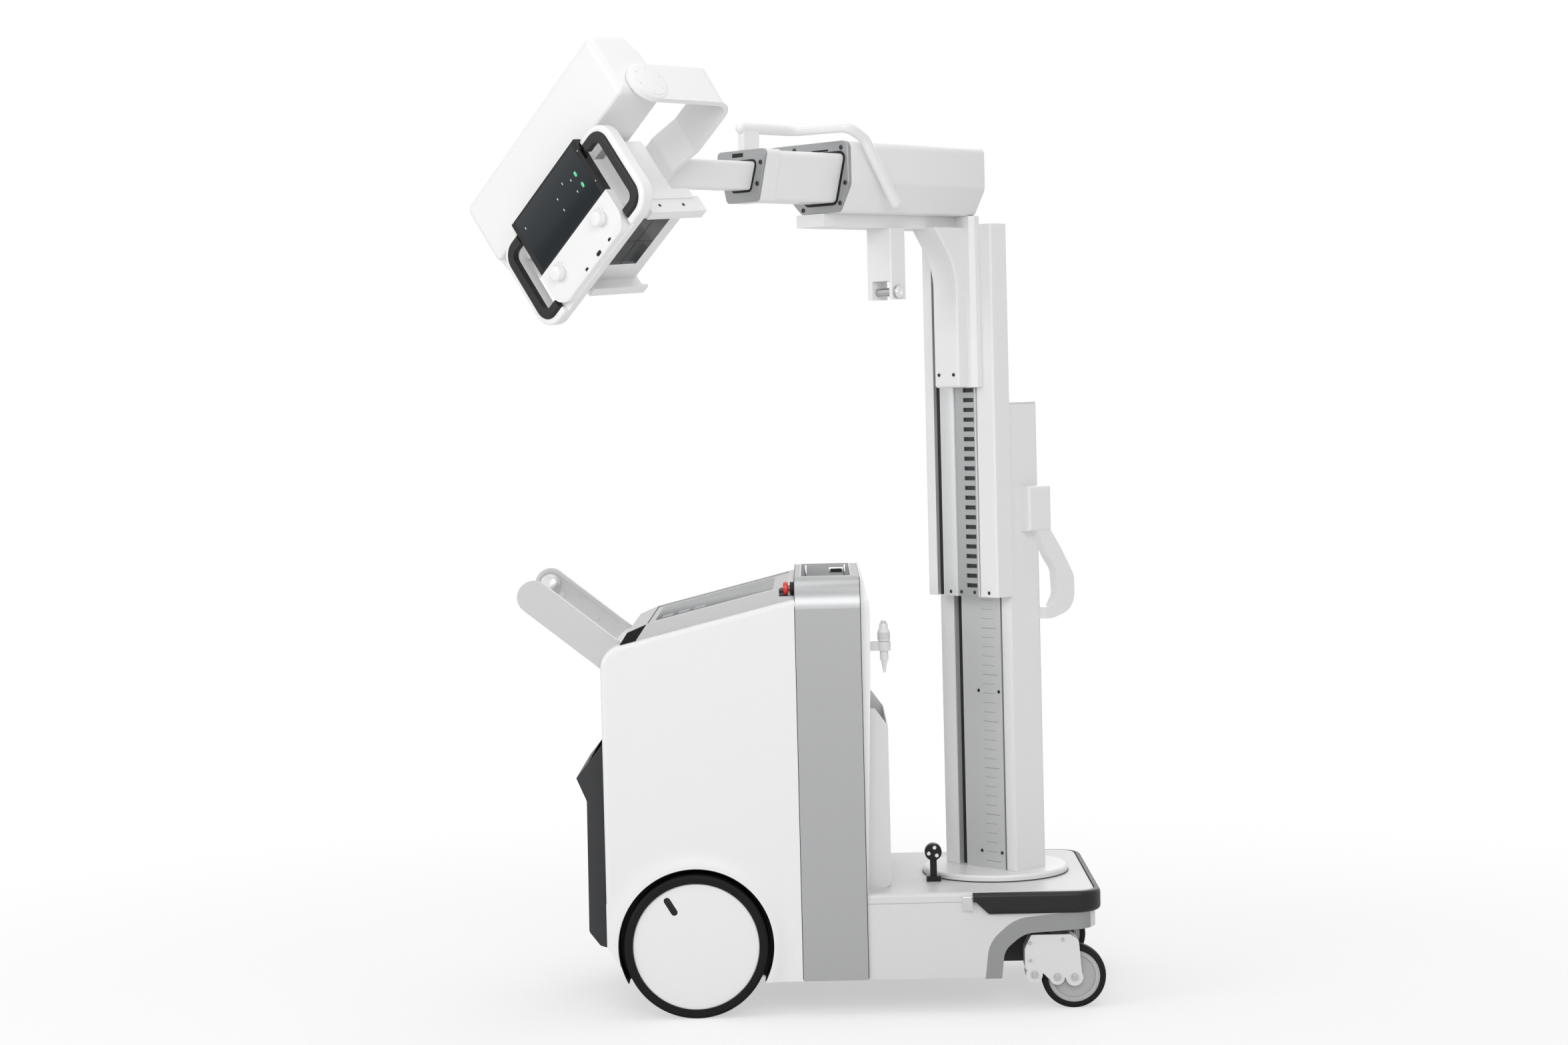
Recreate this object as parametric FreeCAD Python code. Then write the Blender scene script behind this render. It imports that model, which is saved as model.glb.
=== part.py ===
# Mobile x-ray machine: a wheeled generator body with a drive console and a push handle, a turning
# column with a lifting stage, a telescopic arm, and a tube head held in a yoke.
# Millimetres. X points to the caster end, Y to the far side, Z up, floor at Z = 0.

import FreeCAD
import Part
import math
import os

V = FreeCAD.Vector
Turn = FreeCAD.Rotation
Place = FreeCAD.Placement

# Clearances
SHAFT_FIT = 0.05
RUN_GAP = 0.3
GUIDE_GAP = 0.5
TUBE_GAP = 0.4
YOKE_GAP = 1.0

# Body shells
SIDE_HALF = 270.0
INNER_HALF = 190.0
REAR_X = -475.0
SHELL_BOTTOM = 72.0
DECK_Z = 76.0
DECK_THICK = 12.0
REAR_STEP_Z = 151.0
REAR_TOP_RADIUS = 48.0
CONSOLE_SLOPE = 13.7
SHOULDER_Z = 866.9
SIDE_EDGE_RADIUS = 10.0
CAVITY_REAR = -440.0
CAVITY_FRONT = -110.0
CAVITY_TOP = 700.0

# Tower
TOWER_REAR = -69.0
TOWER_FRONT = 66.0
TOWER_TOP = 909.0
TOWER_WALL = 8.0
TOWER_SHOULDER = 63.0
FRONT_SET_IN = 6.0
FRONT_SHELL_HALF = SIDE_HALF - FRONT_SET_IN
FRONT_SHELL_DEPTH = 20.0
FRONT_SHELL_TOP = 911.0
TRAY_REAR = -58.0
TRAY_FRONT = 51.0
TRAY_HALF = 205.0
TRAY_FLOOR = 873.0
TRAY_WALL = 3.0
TRAY_TOP = 910.0
TRAY_SLOT_X = 8.0
TRAY_SLOT_LENGTH = 27.0
TRAY_SLOT_Z = 890.0
TRAY_SLOT_HEIGHT = 9.0
POST_PLATE = 6.0
POST_TOP = 843.0

# Console
CONSOLE_HALF = 250.0
CONSOLE_RIM = 14.0
CONSOLE_REAR = -401.0
CONSOLE_HEIGHT = 29.0
CONSOLE_LEAN = 24.0
WEDGE_LENGTH = 34.0
WEDGE_RISE = 22.0
SCREEN_DROP = 1.5
STOP_Y = -236.0
STOP_Z = 888.0
STOP_CAP_RADIUS = 14.0
STOP_CAP_DEPTH = 11.0
STOP_COLLAR_RADIUS = 12.0
STOP_COLLAR_DEPTH = 9.0
STOP_STEM_RADIUS = 6.0
STOP_STEM_LENGTH = 16.0
STOP_TRAVEL = 4.0

# Drive wheels
DRIVE_X = -290.0
DRIVE_RADIUS = 150.0
DRIVE_WIDTH = 58.0
DRIVE_OUTER = 280.0
TYRE_DEPTH = 18.0
WELL_RADIUS = 162.0
WELL_INNER = 212.0
AXLE_RADIUS = 12.0
AXLE_BORE_DEPTH = 44.0
WELL_HOLE_GAP = 2.0
SWELL_HEIGHT = 6.5
SWELL_WIDTH = 44.0
RIM_FACE_DROP = 3.0
RIM_INNER_POCKET = 30.0
SLOT_LENGTH = 42.0
SLOT_WIDTH = 14.0
SLOT_CENTRE = 99.0
SLOT_ANGLE = 121.0
SLOT_DEPTH = 4.0
MOTOR_RADIUS = 52.0
MOTOR_INNER = 60.0
UNIT_HALF = 170.0
UNIT_FRONT = -122.0
BATTERY_REAR = -230.0
BATTERY_TOP = 380.0
SHELF_LOW = 400.0
SHELF_THICK = 8.0
GENERATOR_REAR = -428.0
GENERATOR_TOP = 680.0
MOTOR_FOOT = 30.0

# Base and bumper
BASE_FRONT = 541.0
BASE_SET_IN = 3.0
BASE_HALF = SIDE_HALF - BASE_SET_IN
BASE_TOP = 250.0
BASE_WALL = 5.0
BASE_CORNER = 45.0
BASE_EDGE_RADIUS = 8.0
ARCH_X = 305.0
ARCH_TOP = 209.0
TRIM_WIDTH = 33.0
TRIM_DROP = 38.0
TRIM_END = 529.0
GROOVE_Z = 229.0
GROOVE = 1.5
BUMPER_REAR = 285.0
BUMPER_LOW = 204.0
BUMPER_HIGH = 249.0
BUMPER_THICK = 12.0
BUMPER_ROUND = 9.0
BUMPER_TAPER = 42.0
BUMPER_NOSE = 18.0
SOCKET_LENGTH = 22.0
SOCKET_DEPTH = 8.0
SOCKET_LOW = 213.0
SOCKET_HIGH = 243.0
BEAM_REAR = 300.0
BEAM_FRONT = 505.0
BEAM_HALF = 120.0
BEAM_TOP = 166.0
CASTER_PLATE = 14.0

# Casters
CASTER_X = 459.0
CASTER_SET_IN = 36.0
CASTER_Y = BASE_HALF - CASTER_SET_IN
CASTER_TRAIL = 34.0
CASTER_RADIUS = 67.0
CASTER_TYRE = 13.0
CASTER_WIDTH = 32.0
FORK_TOP = 157.0
FORK_CHEEK = 10.0
FORK_SIDE_GAP = 2.0
FORK_WHEEL_GAP = 5.0
STEM_RADIUS = 12.0
CASTER_AXLE_RADIUS = 6.0
CASTER_HUB_RADIUS = 20.0
BOOT_RADIUS = 30.0
BOOT_GAP = 0.5

# Push handle
HANDLE_OUTER = 215.0
HANDLE_THICK = 20.0
HANDLE_WIDTH = 69.0
HANDLE_SLOPE = 38.6
HANDLE_X = -614.0
HANDLE_Z = 879.0
HANDLE_LENGTH = 246.0
HANDLE_RECESS = 3.0
HANDLE_RIM = 8.0
GRIP_RADIUS = 17.0
COLLAR_RADIUS = 22.0
COLLAR_LENGTH = 12.0

# Bin, pocket, switch holder and park post
BIN_HALF = 190.0
BIN_WALL = 3.0
BIN_BOTTOM = 134.0
BIN_TOP = 567.0
BIN_DEPTH = 43.0
BIN_LIP = 19.0
BIN_SLANT = 72.0
POCKET_HALF = 180.0
POCKET_WALL = 3.0
POCKET_TOP = 627.0
POCKET_FRONT = 120.0
POCKET_MOUTH = 27.0
POCKET_ROUND = 12.0
SWITCH_Y = -150.0
SWITCH_X = 116.0
SWITCH_RADIUS = 9.0
SWITCH_HEAD_RADIUS = 13.0
HOLDER_LOW = 746.0
HOLDER_HIGH = 765.0
HOLDER_WALL = 4.5
SWITCH_TOP = 803.0
SWITCH_LOW = 725.0
SWITCH_TIP = 699.0
BUTTON_RADIUS = 6.0
BUTTON_STAND = 6.0
BUTTON_DEPTH = 9.0
BUTTON_TRAVEL = 4.0
BUTTON_ROOM = 1.0
PARK_X = 211.0
PARK_Y = -114.0
PARK_Z = 312.0
PARK_RADIUS = 18.0
PARK_FOOT = 30.0
PARK_FOOT_HEIGHT = 12.0
PARK_STEM = 14.0
PARK_THICK = 22.0

# Column, in its own frame: X along the arm, Y across it, Z up
COLUMN_X = 348.7
COLUMN_ANGLE = 44.0
TABLE_RADIUS = 156.0
TABLE_LOW = 252.3
TABLE_TOP = 264.0
TABLE_CHAMFER = 4.0
SPIGOT_RADIUS = 45.0
SPIGOT_LENGTH = 60.0
PEDESTAL_RADIUS = 118.0
MAST_BACK = -48.0
MAST_FRONT = 48.0
MAST_LEFT = -98.0
MAST_RIGHT = 108.0
MAST_TOP = 1257.0
COVER_WALL = 8.0
MAST_SLOT_LEFT = -59.0
MAST_SLOT_WIDTH = 22.0
MAST_SLOT_DEPTH = 14.0
SCALE_LEFT = -37.0
SCALE_RIGHT = 74.0
SCALE_THICK = 2.0
CHANNEL_WIDTH = 5.0
CHANNEL_DEPTH = 6.0
GUIDE_LENGTH = 385.0
STAGE_GAP = 2.0
STAGE_DEPTH = 48.0
STAGE_LEFT = -86.0
STAGE_RIGHT = 115.0
STAGE_LOW = 851.0
STAGE_TOP = 1637.0
STAGE_SLOT_LEFT = -59.0
STAGE_SLOT_WIDTH = 19.0
STAGE_SLOT_DEPTH = 10.0
RACK_LEFT = -1.0
RACK_RIGHT = 60.0
RACK_RECESS = 6.0
RACK_THICK = 3.0
RACK_SLOT_LEFT = 24.0
RACK_SLOT_WIDTH = 30.0
RACK_SLOT_HEIGHT = 9.0
RACK_PITCH = 20.7
RACK_FIRST = 870.0
STAGE_EDGE = 5.0
GUIDE_BOX_BACK = -58.0
GUIDE_BOX_FRONT = 12.0
GUIDE_BOX_LOW = 987.0
GUIDE_BOX_HIGH = 1082.0
GUIDE_BOX_DEPTH = 24.0
HOSE_WIDTH = 20.0

# Arm
BRACKET_LEFT = -8.0
BRACKET_RIGHT = 62.0
BRACKET_PLATE_LEFT = -12.0
BRACKET_PLATE_RIGHT = 84.0
BRACKET_PLATE_FRONT = 121.0
BRACKET_BEVEL = 9.0
BRACKET_LOW = 1295.0
BRACKET_FRONT = 147.0
BEAM_SPAN_LEFT = -44.0
BEAM_SPAN_RIGHT = 36.0
ARM_BEAM_LOW = 1628.0
HOUSING_LOW = 1654.0
HOUSING_TOP = 1797.0
HOUSING_BACK = 100.0
HOUSING_FRONT = 495.0
HOUSING_LEFT = -127.0
HOUSING_RIGHT = 108.0
HOUSING_ROUND = 16.0
HOUSING_WALL = 12.0
END_FRAME_THICK = 10.0
END_FRAME_INSET = 1.5
ARM_CENTRE = 28.0
HEAD_AXIS_Z = 1717.0
MID_HALF_TOP = 70.0
MID_HALF_LOW = 42.0
MID_LOW = 1674.0
MID_TOP = 1771.0
MID_BACK = 262.0
MID_FRONT = 677.0
MID_ROUND = 10.0
COLLAR_DEPTH = 45.0
COLLAR_GROW = 3.0
INNER_HALF_TOP = 42.0
INNER_HALF_LOW = 24.0
INNER_LOW = 1695.0
INNER_TOP = 1750.0
INNER_BACK = 430.0
INNER_ROUND = 7.0
LATCH_BACK = 278.0
LATCH_FRONT = 322.0
LATCH_LEFT = -28.0
LATCH_RIGHT = 42.0
LATCH_LOW = 1481.0
LATCH_SLOT_LEFT = -13.0
LATCH_SLOT_RIGHT = 36.0
LATCH_SLOT_TOP = 1519.0
PAWL_X = 305.0
PAWL_Z = 1496.0
PAWL_SHAFT = 5.0
PAWL_BOSS = 9.0
PAWL_DISC = 13.0
PAWL_DISC_THICK = 6.0
PAWL_REACH = 21.0
PAWL_THICK = 7.0
GRAB_RADIUS = 11.0
GRAB_POST_X = 680.0
GRAB_POST_LENGTH = 44.0
GRAB_POST_WIDTH = 18.0
GRAB_Z = 1818.0
GRAB_SIDE = 130.0

# Head, in its own frame: X across, Y back to the arm, Z up against the beam
HEAD_REACH = 1129.0
HEAD_ROLL = -37.9
HEAD_TILT = 3.7
YOKE_HALF = 251.0
YOKE_THICK = 10.0
YOKE_BAND = 43.0
YOKE_BACK = 190.0
YOKE_MIDDLE = 170.0
YOKE_CORNER = 40.0
YOKE_JOGGLE_IN = 62.0
YOKE_JOGGLE_OUT = 118.0
SWIVEL_RADIUS = 16.0
SWIVEL_LENGTH = 12.0
PIVOT_RADIUS = 12.0
PIVOT_DEPTH = 14.0
COVER_LOW = -13.0
COVER_HIGH = 129.0
COVER_FRONT = -69.0
COVER_BACK = 45.0
COVER_TOP_BACK = 24.0
COVER_ROUND = 13.0
CASING_RADIUS = 48.0
CASING_HALF = 200.0
CASING_Y = -12.0
CASING_Z = 36.0
BEAM_Y = 30.0
NECK_RADIUS = 40.0
SPIGOT_R = 30.0
SPIGOT_DEEP = 8.0
COLLIMATOR_TOP = -25.0
COLLIMATOR_LOW = -170.0
COLLIMATOR_HALF = 115.0
COLLIMATOR_FRONT = -35.0
COLLIMATOR_BACK = 95.0
COLLIMATOR_SLOPE = 33.0
COLLIMATOR_SLOPE_LOW = -132.0
COLLIMATOR_CORNER = 36.0
COLLIMATOR_FLARE = 6.0
FLARE_HEIGHT = 22.0
WINDOW_HALF = 66.0
WINDOW_FRONT = -8.0
WINDOW_BACK = 75.0
WINDOW_DEPTH = 3.0
RAIL_FRONT = -28.0
RAIL_BACK = 110.0
RAIL_LOW = -200.0
RAIL_WEB = 8.0
RAIL_LIP = 20.0
RAIL_LIP_THICK = 5.0
RING_HALF = 192.0
RING_TOP = -28.0
RING_LOW = -228.0
RING_BAR = 32.0
RING_CORNER = 45.0
RING_FRONT = -95.0
RING_BACK = -76.0
RING_LIP = 11.0
RING_LIP_FRONT = -104.0
SKIRT_HALF = 105.0
SKIRT_TOP = -32.0
SKIRT_LOW = -165.0
GRIP_FRONT = -108.0
GRIP_INSET = 2.0
GRIP_ROUND = 5.0
GRIP_START = 126.0
PANEL_FRONT = -112.0
PANEL_HALF = 122.0
PANEL_LOW = -225.0
PANEL_CORNER = 34.0
PANEL_LEAN = 14.0
PANEL_ROUND = 4.0
DISPLAY_HALF = 119.0
DISPLAY_TOP = -21.0
DISPLAY_LOW = -145.0
KNOB_X = 76.0
KNOB_Z = -174.0
KNOB_RADIUS = 15.0
KNOB_DEPTH = 16.0
KNOB_SHAFT = 5.0

# Frames of the turning groups
COLUMN_FRAME = Place(V(COLUMN_X, 0, 0), Turn(V(0, 0, 1), 180 + COLUMN_ANGLE))
YOKE_FRAME = (COLUMN_FRAME
              * Place(V(HEAD_REACH, ARM_CENTRE, HEAD_AXIS_Z), Turn(V(0, 0, 1), 90))
              * Place(V(0, 0, 0), Turn(V(0, 1, 0), HEAD_ROLL)))
HEAD_FRAME = YOKE_FRAME * Place(V(0, 0, 0), Turn(V(1, 0, 0), HEAD_TILT))


# Shape helpers

def box(x0, x1, y0, y1, z0, z1):
    """Box between two corners."""
    return Part.makeBox(x1 - x0, y1 - y0, z1 - z0, V(x0, y0, z0))


def rod(start, end, radius):
    """Round bar between two points."""
    run = end - start
    return Part.makeCylinder(radius, run.Length, start, run)


def corner_ends(before, here, after, radius):
    """Start, middle and end of the arc that rounds one corner."""
    if radius == 0:
        return here, here, here
    back = (before - here).normalize()
    ahead = (after - here).normalize()
    half = back.getAngle(ahead) / 2
    start = here + back * (radius / math.tan(half))
    end = here + ahead * (radius / math.tan(half))
    inward = (back + ahead).normalize()
    middle = here + inward * (radius / math.sin(half) - radius)
    return start, middle, end


def outline(points, put):
    """Closed wire through flat corner points; a third number rounds that corner."""
    flat = [V(point[0], point[1], 0) for point in points]
    radii = [point[2] if len(point) > 2 else 0 for point in points]
    count = len(points)
    ends = []
    for i in range(count):
        ends.append(corner_ends(flat[i - 1], flat[i], flat[(i + 1) % count], radii[i]))
    edges = []
    for i in range(count):
        start, middle, end = ends[i]
        if radii[i] > 0:
            edges.append(Part.Arc(put(start), put(middle), put(end)).toShape())
        following = ends[(i + 1) % count][0]
        if (following - end).Length > 1e-4:
            edges.append(Part.makeLine(put(end), put(following)))
    return Part.Wire(edges)


def slab_x(points, x0, x1):
    """Outline in Y and Z, pulled along X."""
    wire = outline(points, lambda p: V(x0, p.x, p.y))
    return Part.Face(wire).extrude(V(x1 - x0, 0, 0))


def slab_y(points, y0, y1):
    """Outline in X and Z, pulled along Y."""
    wire = outline(points, lambda p: V(p.x, y0, p.y))
    return Part.Face(wire).extrude(V(0, y1 - y0, 0))


def slab_z(points, z0, z1):
    """Outline in X and Y, pulled up along Z."""
    wire = outline(points, lambda p: V(p.x, p.y, z0))
    return Part.Face(wire).extrude(V(0, 0, z1 - z0))


def mirrored(shape):
    """The same piece on the far side of the machine."""
    return shape.mirror(V(0, 0, 0), V(0, 1, 0))


def placed(shape, frame):
    """The piece moved into a turning group's frame."""
    result = shape.copy()
    result.Placement = frame * result.Placement
    return result


def softened(shape, radius, wanted):
    """Rounds the edges whose centre passes the test."""
    edges = [edge for edge in shape.Edges if wanted(edge)]
    return shape.makeFillet(radius, edges)


def one(shape):
    """The single solid of a fused shape, with coplanar faces merged."""
    clean = shape.removeSplitter()
    return clean.Solids[0] if len(clean.Solids) == 1 else clean


def console_line(x):
    """Height of the sloping top edge of the body above a point on X."""
    return SHOULDER_Z + (x - TOWER_REAR) * math.tan(math.radians(CONSOLE_SLOPE))


def trapezoid(half_top, half_low, low, top, radius, grow=0.0):
    """Corner points of an arm tube's section, across and up, widened by a clearance."""
    return [(ARM_CENTRE - half_top - grow, top + grow, radius),
            (ARM_CENTRE + half_top + grow, top + grow, radius),
            (ARM_CENTRE + half_low + grow, low - grow, radius),
            (ARM_CENTRE - half_low - grow, low - grow, radius)]


# Chassis

def base_frame():
    """Welded steel deck with a front beam, a tower frame, a generator shelf and a pedestal."""
    deck_top = DECK_Z + DECK_THICK
    tower_half = SIDE_HALF - TOWER_WALL
    base_inner = BASE_HALF - BASE_WALL
    deck = box(CAVITY_REAR, TOWER_REAR, -INNER_HALF, INNER_HALF, DECK_Z, deck_top)
    front_deck = box(TOWER_REAR, TOWER_FRONT, -tower_half, tower_half, DECK_Z, deck_top)
    base_deck = box(TOWER_FRONT, BEAM_REAR, -base_inner, base_inner, DECK_Z, deck_top)
    beam = box(BEAM_REAR, BEAM_FRONT, -BEAM_HALF, BEAM_HALF, DECK_Z, BEAM_TOP)
    plate = box(CASTER_X - 60, CASTER_X + 50, -base_inner + 4, base_inner - 4,
                BEAM_TOP, BEAM_TOP + CASTER_PLATE)
    pedestal = Part.makeCylinder(PEDESTAL_RADIUS, TABLE_LOW - RUN_GAP - BEAM_TOP,
                                 V(COLUMN_X, 0, BEAM_TOP))
    pedestal_foot = box(COLUMN_X - PEDESTAL_RADIUS, BEAM_REAR, -BEAM_HALF, BEAM_HALF,
                        deck_top, BEAM_TOP)
    frame = deck.fuse([front_deck, base_deck, beam, plate, pedestal, pedestal_foot])
    frame = frame.fuse([tower_frame(deck_top), generator_shelf(deck_top)])
    bore = Part.makeCylinder(SPIGOT_RADIUS + SHAFT_FIT, SPIGOT_LENGTH + 2,
                             V(COLUMN_X, 0, TABLE_LOW - SPIGOT_LENGTH - 2))
    frame = frame.cut(bore)
    for side in (-1, 1):
        stem = Part.makeCylinder(STEM_RADIUS + SHAFT_FIT, CASTER_PLATE,
                                 V(CASTER_X, side * CASTER_Y, BEAM_TOP))
        frame = frame.cut(stem)
    return one(frame)


def tower_frame(deck_top):
    """Two upright plates and a top plate inside the tower."""
    half = SIDE_HALF - TOWER_WALL
    left = box(TOWER_REAR + 9, TOWER_FRONT - 9, -half, -half + POST_PLATE, deck_top, POST_TOP)
    right = mirrored(left)
    top = box(TOWER_REAR + 9, TOWER_FRONT - 9, -half, half, POST_TOP - 8, POST_TOP)
    riser = box(TRAY_REAR + 20, TRAY_FRONT - 20, -TRAY_HALF + 30, TRAY_HALF - 30,
                POST_TOP, TRAY_FLOOR - TRAY_WALL)
    return left.fuse([right, top, riser])


def generator_shelf(deck_top):
    """Shelf that carries the generator above the motors."""
    half = INNER_HALF - 4
    rear = box(CAVITY_REAR, CAVITY_REAR + POST_PLATE, -half, half, deck_top, SHELF_LOW)
    front = box(CAVITY_FRONT - POST_PLATE, CAVITY_FRONT, -half, half, deck_top, SHELF_LOW)
    shelf = box(CAVITY_REAR, CAVITY_FRONT, -half, half, SHELF_LOW, SHELF_LOW + SHELF_THICK)
    return rear.fuse([front, shelf])


def base_plan(grow):
    """Plan of the front base, round at both front corners, widened by a thickness."""
    return [(TOWER_FRONT, -BASE_HALF - grow),
            (BASE_FRONT + grow, -BASE_HALF - grow, BASE_CORNER + grow),
            (BASE_FRONT + grow, BASE_HALF + grow, BASE_CORNER + grow),
            (TOWER_FRONT, BASE_HALF + grow)]


def base_shell():
    """Walls and roof of the front base before the wheel arches are cut."""
    outer = slab_z(base_plan(0), SHELL_BOTTOM, BASE_TOP)
    outer = softened(outer, BASE_EDGE_RADIUS,
                     lambda e: e.BoundBox.ZMin > BASE_TOP - 0.1 and e.CenterOfMass.x > TOWER_FRONT + 1)
    inner = slab_z(base_plan(-BASE_WALL), SHELL_BOTTOM - 10, BASE_TOP - BASE_WALL)
    return outer.cut(inner)


def arch_outer():
    """Outline of the caster arch along the trim's outer edge."""
    return [(ARCH_X, SHELL_BOTTOM - 30),
            (ARCH_X + 12, ARCH_TOP - 64, 70),
            (ARCH_X + 67, ARCH_TOP - 15, 90),
            (TRIM_END + 3, ARCH_TOP),
            (TRIM_END + 3, SHELL_BOTTOM - 30)]


def arch_inner():
    """Outline of the caster arch along the trim's inner edge."""
    return [(ARCH_X + TRIM_WIDTH, SHELL_BOTTOM - 40),
            (ARCH_X + TRIM_WIDTH + 11, ARCH_TOP - 81, 40),
            (ARCH_X + TRIM_WIDTH + 52, ARCH_TOP - TRIM_DROP - 9, 60),
            (TRIM_END + 20, ARCH_TOP - TRIM_DROP),
            (TRIM_END + 20, SHELL_BOTTOM - 40)]


def base_cover():
    """Moulded cover over the front base, with a seam, bumper sockets and caster arches."""
    far = SIDE_HALF + 60
    cover = base_shell()
    cover = cover.cut(slab_y(arch_outer(), -far, far).common(
        box(0, TRIM_END, -far, far, 0, BASE_TOP)))
    cover = cover.cut(box(TRIM_END, BASE_FRONT + 40, -far, far, 0, ARCH_TOP - TRIM_DROP))
    cover = cover.cut(Part.makeCylinder(PEDESTAL_RADIUS, 60, V(COLUMN_X, 0, BASE_TOP - 30)))
    for side in (-1, 1):
        y0, y1 = sorted((side * (BASE_HALF - GROOVE), side * (BASE_HALF + 5)))
        cover = cover.cut(box(TOWER_FRONT - 1, BUMPER_REAR - SOCKET_LENGTH, y0, y1,
                              GROOVE_Z, GROOVE_Z + GROOVE))
        y0, y1 = sorted((side * (BASE_HALF - 1), side * (BASE_HALF + SOCKET_DEPTH)))
        socket = box(BUMPER_REAR - SOCKET_LENGTH, BUMPER_REAR, y0, y1, SOCKET_LOW, SOCKET_HIGH)
        cover = cover.fuse(socket)
    return one(cover)


def arch_trims():
    """Silver strip round each caster arch, in the wall of the base cover."""
    far = SIDE_HALF + 60
    band = slab_y(arch_outer(), -far, far).cut(slab_y(arch_inner(), -far, far))
    band = band.common(box(0, TRIM_END, -far, far, SHELL_BOTTOM - 3, BASE_TOP))
    wall = slab_z(base_plan(0), SHELL_BOTTOM - 3, BASE_TOP - 20).cut(
        slab_z(base_plan(-BASE_WALL), SHELL_BOTTOM - 20, BASE_TOP))
    return band.common(wall)


def bumper():
    """Rubber bumper round the front of the base."""
    outer = slab_z(base_plan(BUMPER_THICK), BUMPER_LOW, BUMPER_HIGH)
    outer = outer.cut(box(0, BUMPER_REAR, -400, 400, 0, 400))
    outer = softened(outer, BUMPER_ROUND,
                     lambda e: e.BoundBox.ZLength < 0.1 and e.CenterOfMass.x > BUMPER_REAR + 1)
    taper = slab_y([(BUMPER_REAR - 5, BUMPER_LOW - 5), (BUMPER_REAR + BUMPER_TAPER, BUMPER_LOW - 5),
                    (BUMPER_REAR + BUMPER_TAPER - 8, BUMPER_LOW), (BUMPER_REAR + 6, BUMPER_HIGH - BUMPER_NOSE),
                    (BUMPER_REAR - 5, BUMPER_HIGH - BUMPER_NOSE)], -400, 400)
    return outer.cut(slab_z(base_plan(0), 0, 400)).cut(taper)


def side_profile():
    """Side outline of the rear body."""
    return [(REAR_X, REAR_STEP_Z),
            (REAR_X, console_line(REAR_X), REAR_TOP_RADIUS),
            (TOWER_REAR, SHOULDER_Z),
            (TOWER_REAR, SHELL_BOTTOM),
            (-430, SHELL_BOTTOM),
            (-446, 108)]


def handle_arm_blank(y0, y1, inset=0.0):
    """Straight arm with a round end, sloping down into the body."""
    half = HANDLE_WIDTH / 2 - inset
    blank = box(0, HANDLE_LENGTH, y0, y1, -half, half)
    blank = blank.fuse(rod(V(0, y0, 0), V(0, y1, 0), half))
    return placed(blank, Place(V(HANDLE_X, 0, HANDLE_Z), Turn(V(0, 1, 0), HANDLE_SLOPE)))


def handle_arm_slots():
    """Space that the two handle arms take."""
    near = handle_arm_blank(-HANDLE_OUTER, -HANDLE_OUTER + HANDLE_THICK)
    return [near, mirrored(near)]


def well_swell():
    """Ring that swells softly round the near wheel well, cut off at the shell's own outline."""
    radii = [WELL_RADIUS + SWELL_WIDTH * share for share in (0, 0.2, 0.45, 0.75, 1)]
    rises = [SWELL_HEIGHT * share for share in (1, 0.9, 0.45, 0.1, 0)]
    crest = [V(DRIVE_X + radii[i], -SIDE_HALF - rises[i], DRIVE_RADIUS) for i in range(5)]
    curve = Part.BSplineCurve()
    curve.interpolate(crest)
    foot = V(crest[0].x, -SIDE_HALF + 2, DRIVE_RADIUS)
    end = V(crest[4].x, -SIDE_HALF + 2, DRIVE_RADIUS)
    wire = Part.Wire([curve.toShape(), Part.makeLine(crest[4], end), Part.makeLine(end, foot),
                      Part.makeLine(foot, crest[0])])
    ring = Part.Face(wire).revolve(V(DRIVE_X, 0, DRIVE_RADIUS), V(0, 1, 0), 360)
    return ring.common(slab_y(side_profile(), -SIDE_HALF - 20, -INNER_HALF))


def side_shell():
    """Near side shell of the rear body, with its wheel well and the slot for the push handle."""
    shell = slab_y(side_profile(), -SIDE_HALF, -INNER_HALF)
    shell = softened(shell, SIDE_EDGE_RADIUS,
                     lambda e: e.BoundBox.YMax < -SIDE_HALF + 0.1 and e.CenterOfMass.z > 600
                     and e.CenterOfMass.x < TOWER_REAR - 1)
    shell = shell.fuse(well_swell())
    shell = shell.cut(rod(V(DRIVE_X, -SIDE_HALF - 20, DRIVE_RADIUS), V(DRIVE_X, -WELL_INNER, DRIVE_RADIUS),
                          WELL_RADIUS))
    shell = shell.cut(rod(V(DRIVE_X, -SIDE_HALF, DRIVE_RADIUS), V(DRIVE_X, 0, DRIVE_RADIUS),
                          AXLE_RADIUS + WELL_HOLE_GAP))
    shell = shell.cut(handle_arm_blank(-HANDLE_OUTER, -HANDLE_OUTER + HANDLE_THICK))
    return one(shell)


def rear_shell():
    """Middle shell of the rear body, open below over the battery and generator."""
    deck_top = DECK_Z + DECK_THICK
    outer = slab_y([(REAR_X, REAR_STEP_Z),
                    (REAR_X, console_line(REAR_X), REAR_TOP_RADIUS),
                    (TOWER_REAR, SHOULDER_Z),
                    (TOWER_REAR, deck_top),
                    (CAVITY_REAR, deck_top)], -INNER_HALF, INNER_HALF)
    room = box(CAVITY_REAR, CAVITY_FRONT, -INNER_HALF, INNER_HALF, deck_top, CAVITY_TOP)
    return outer.cut(room)


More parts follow.
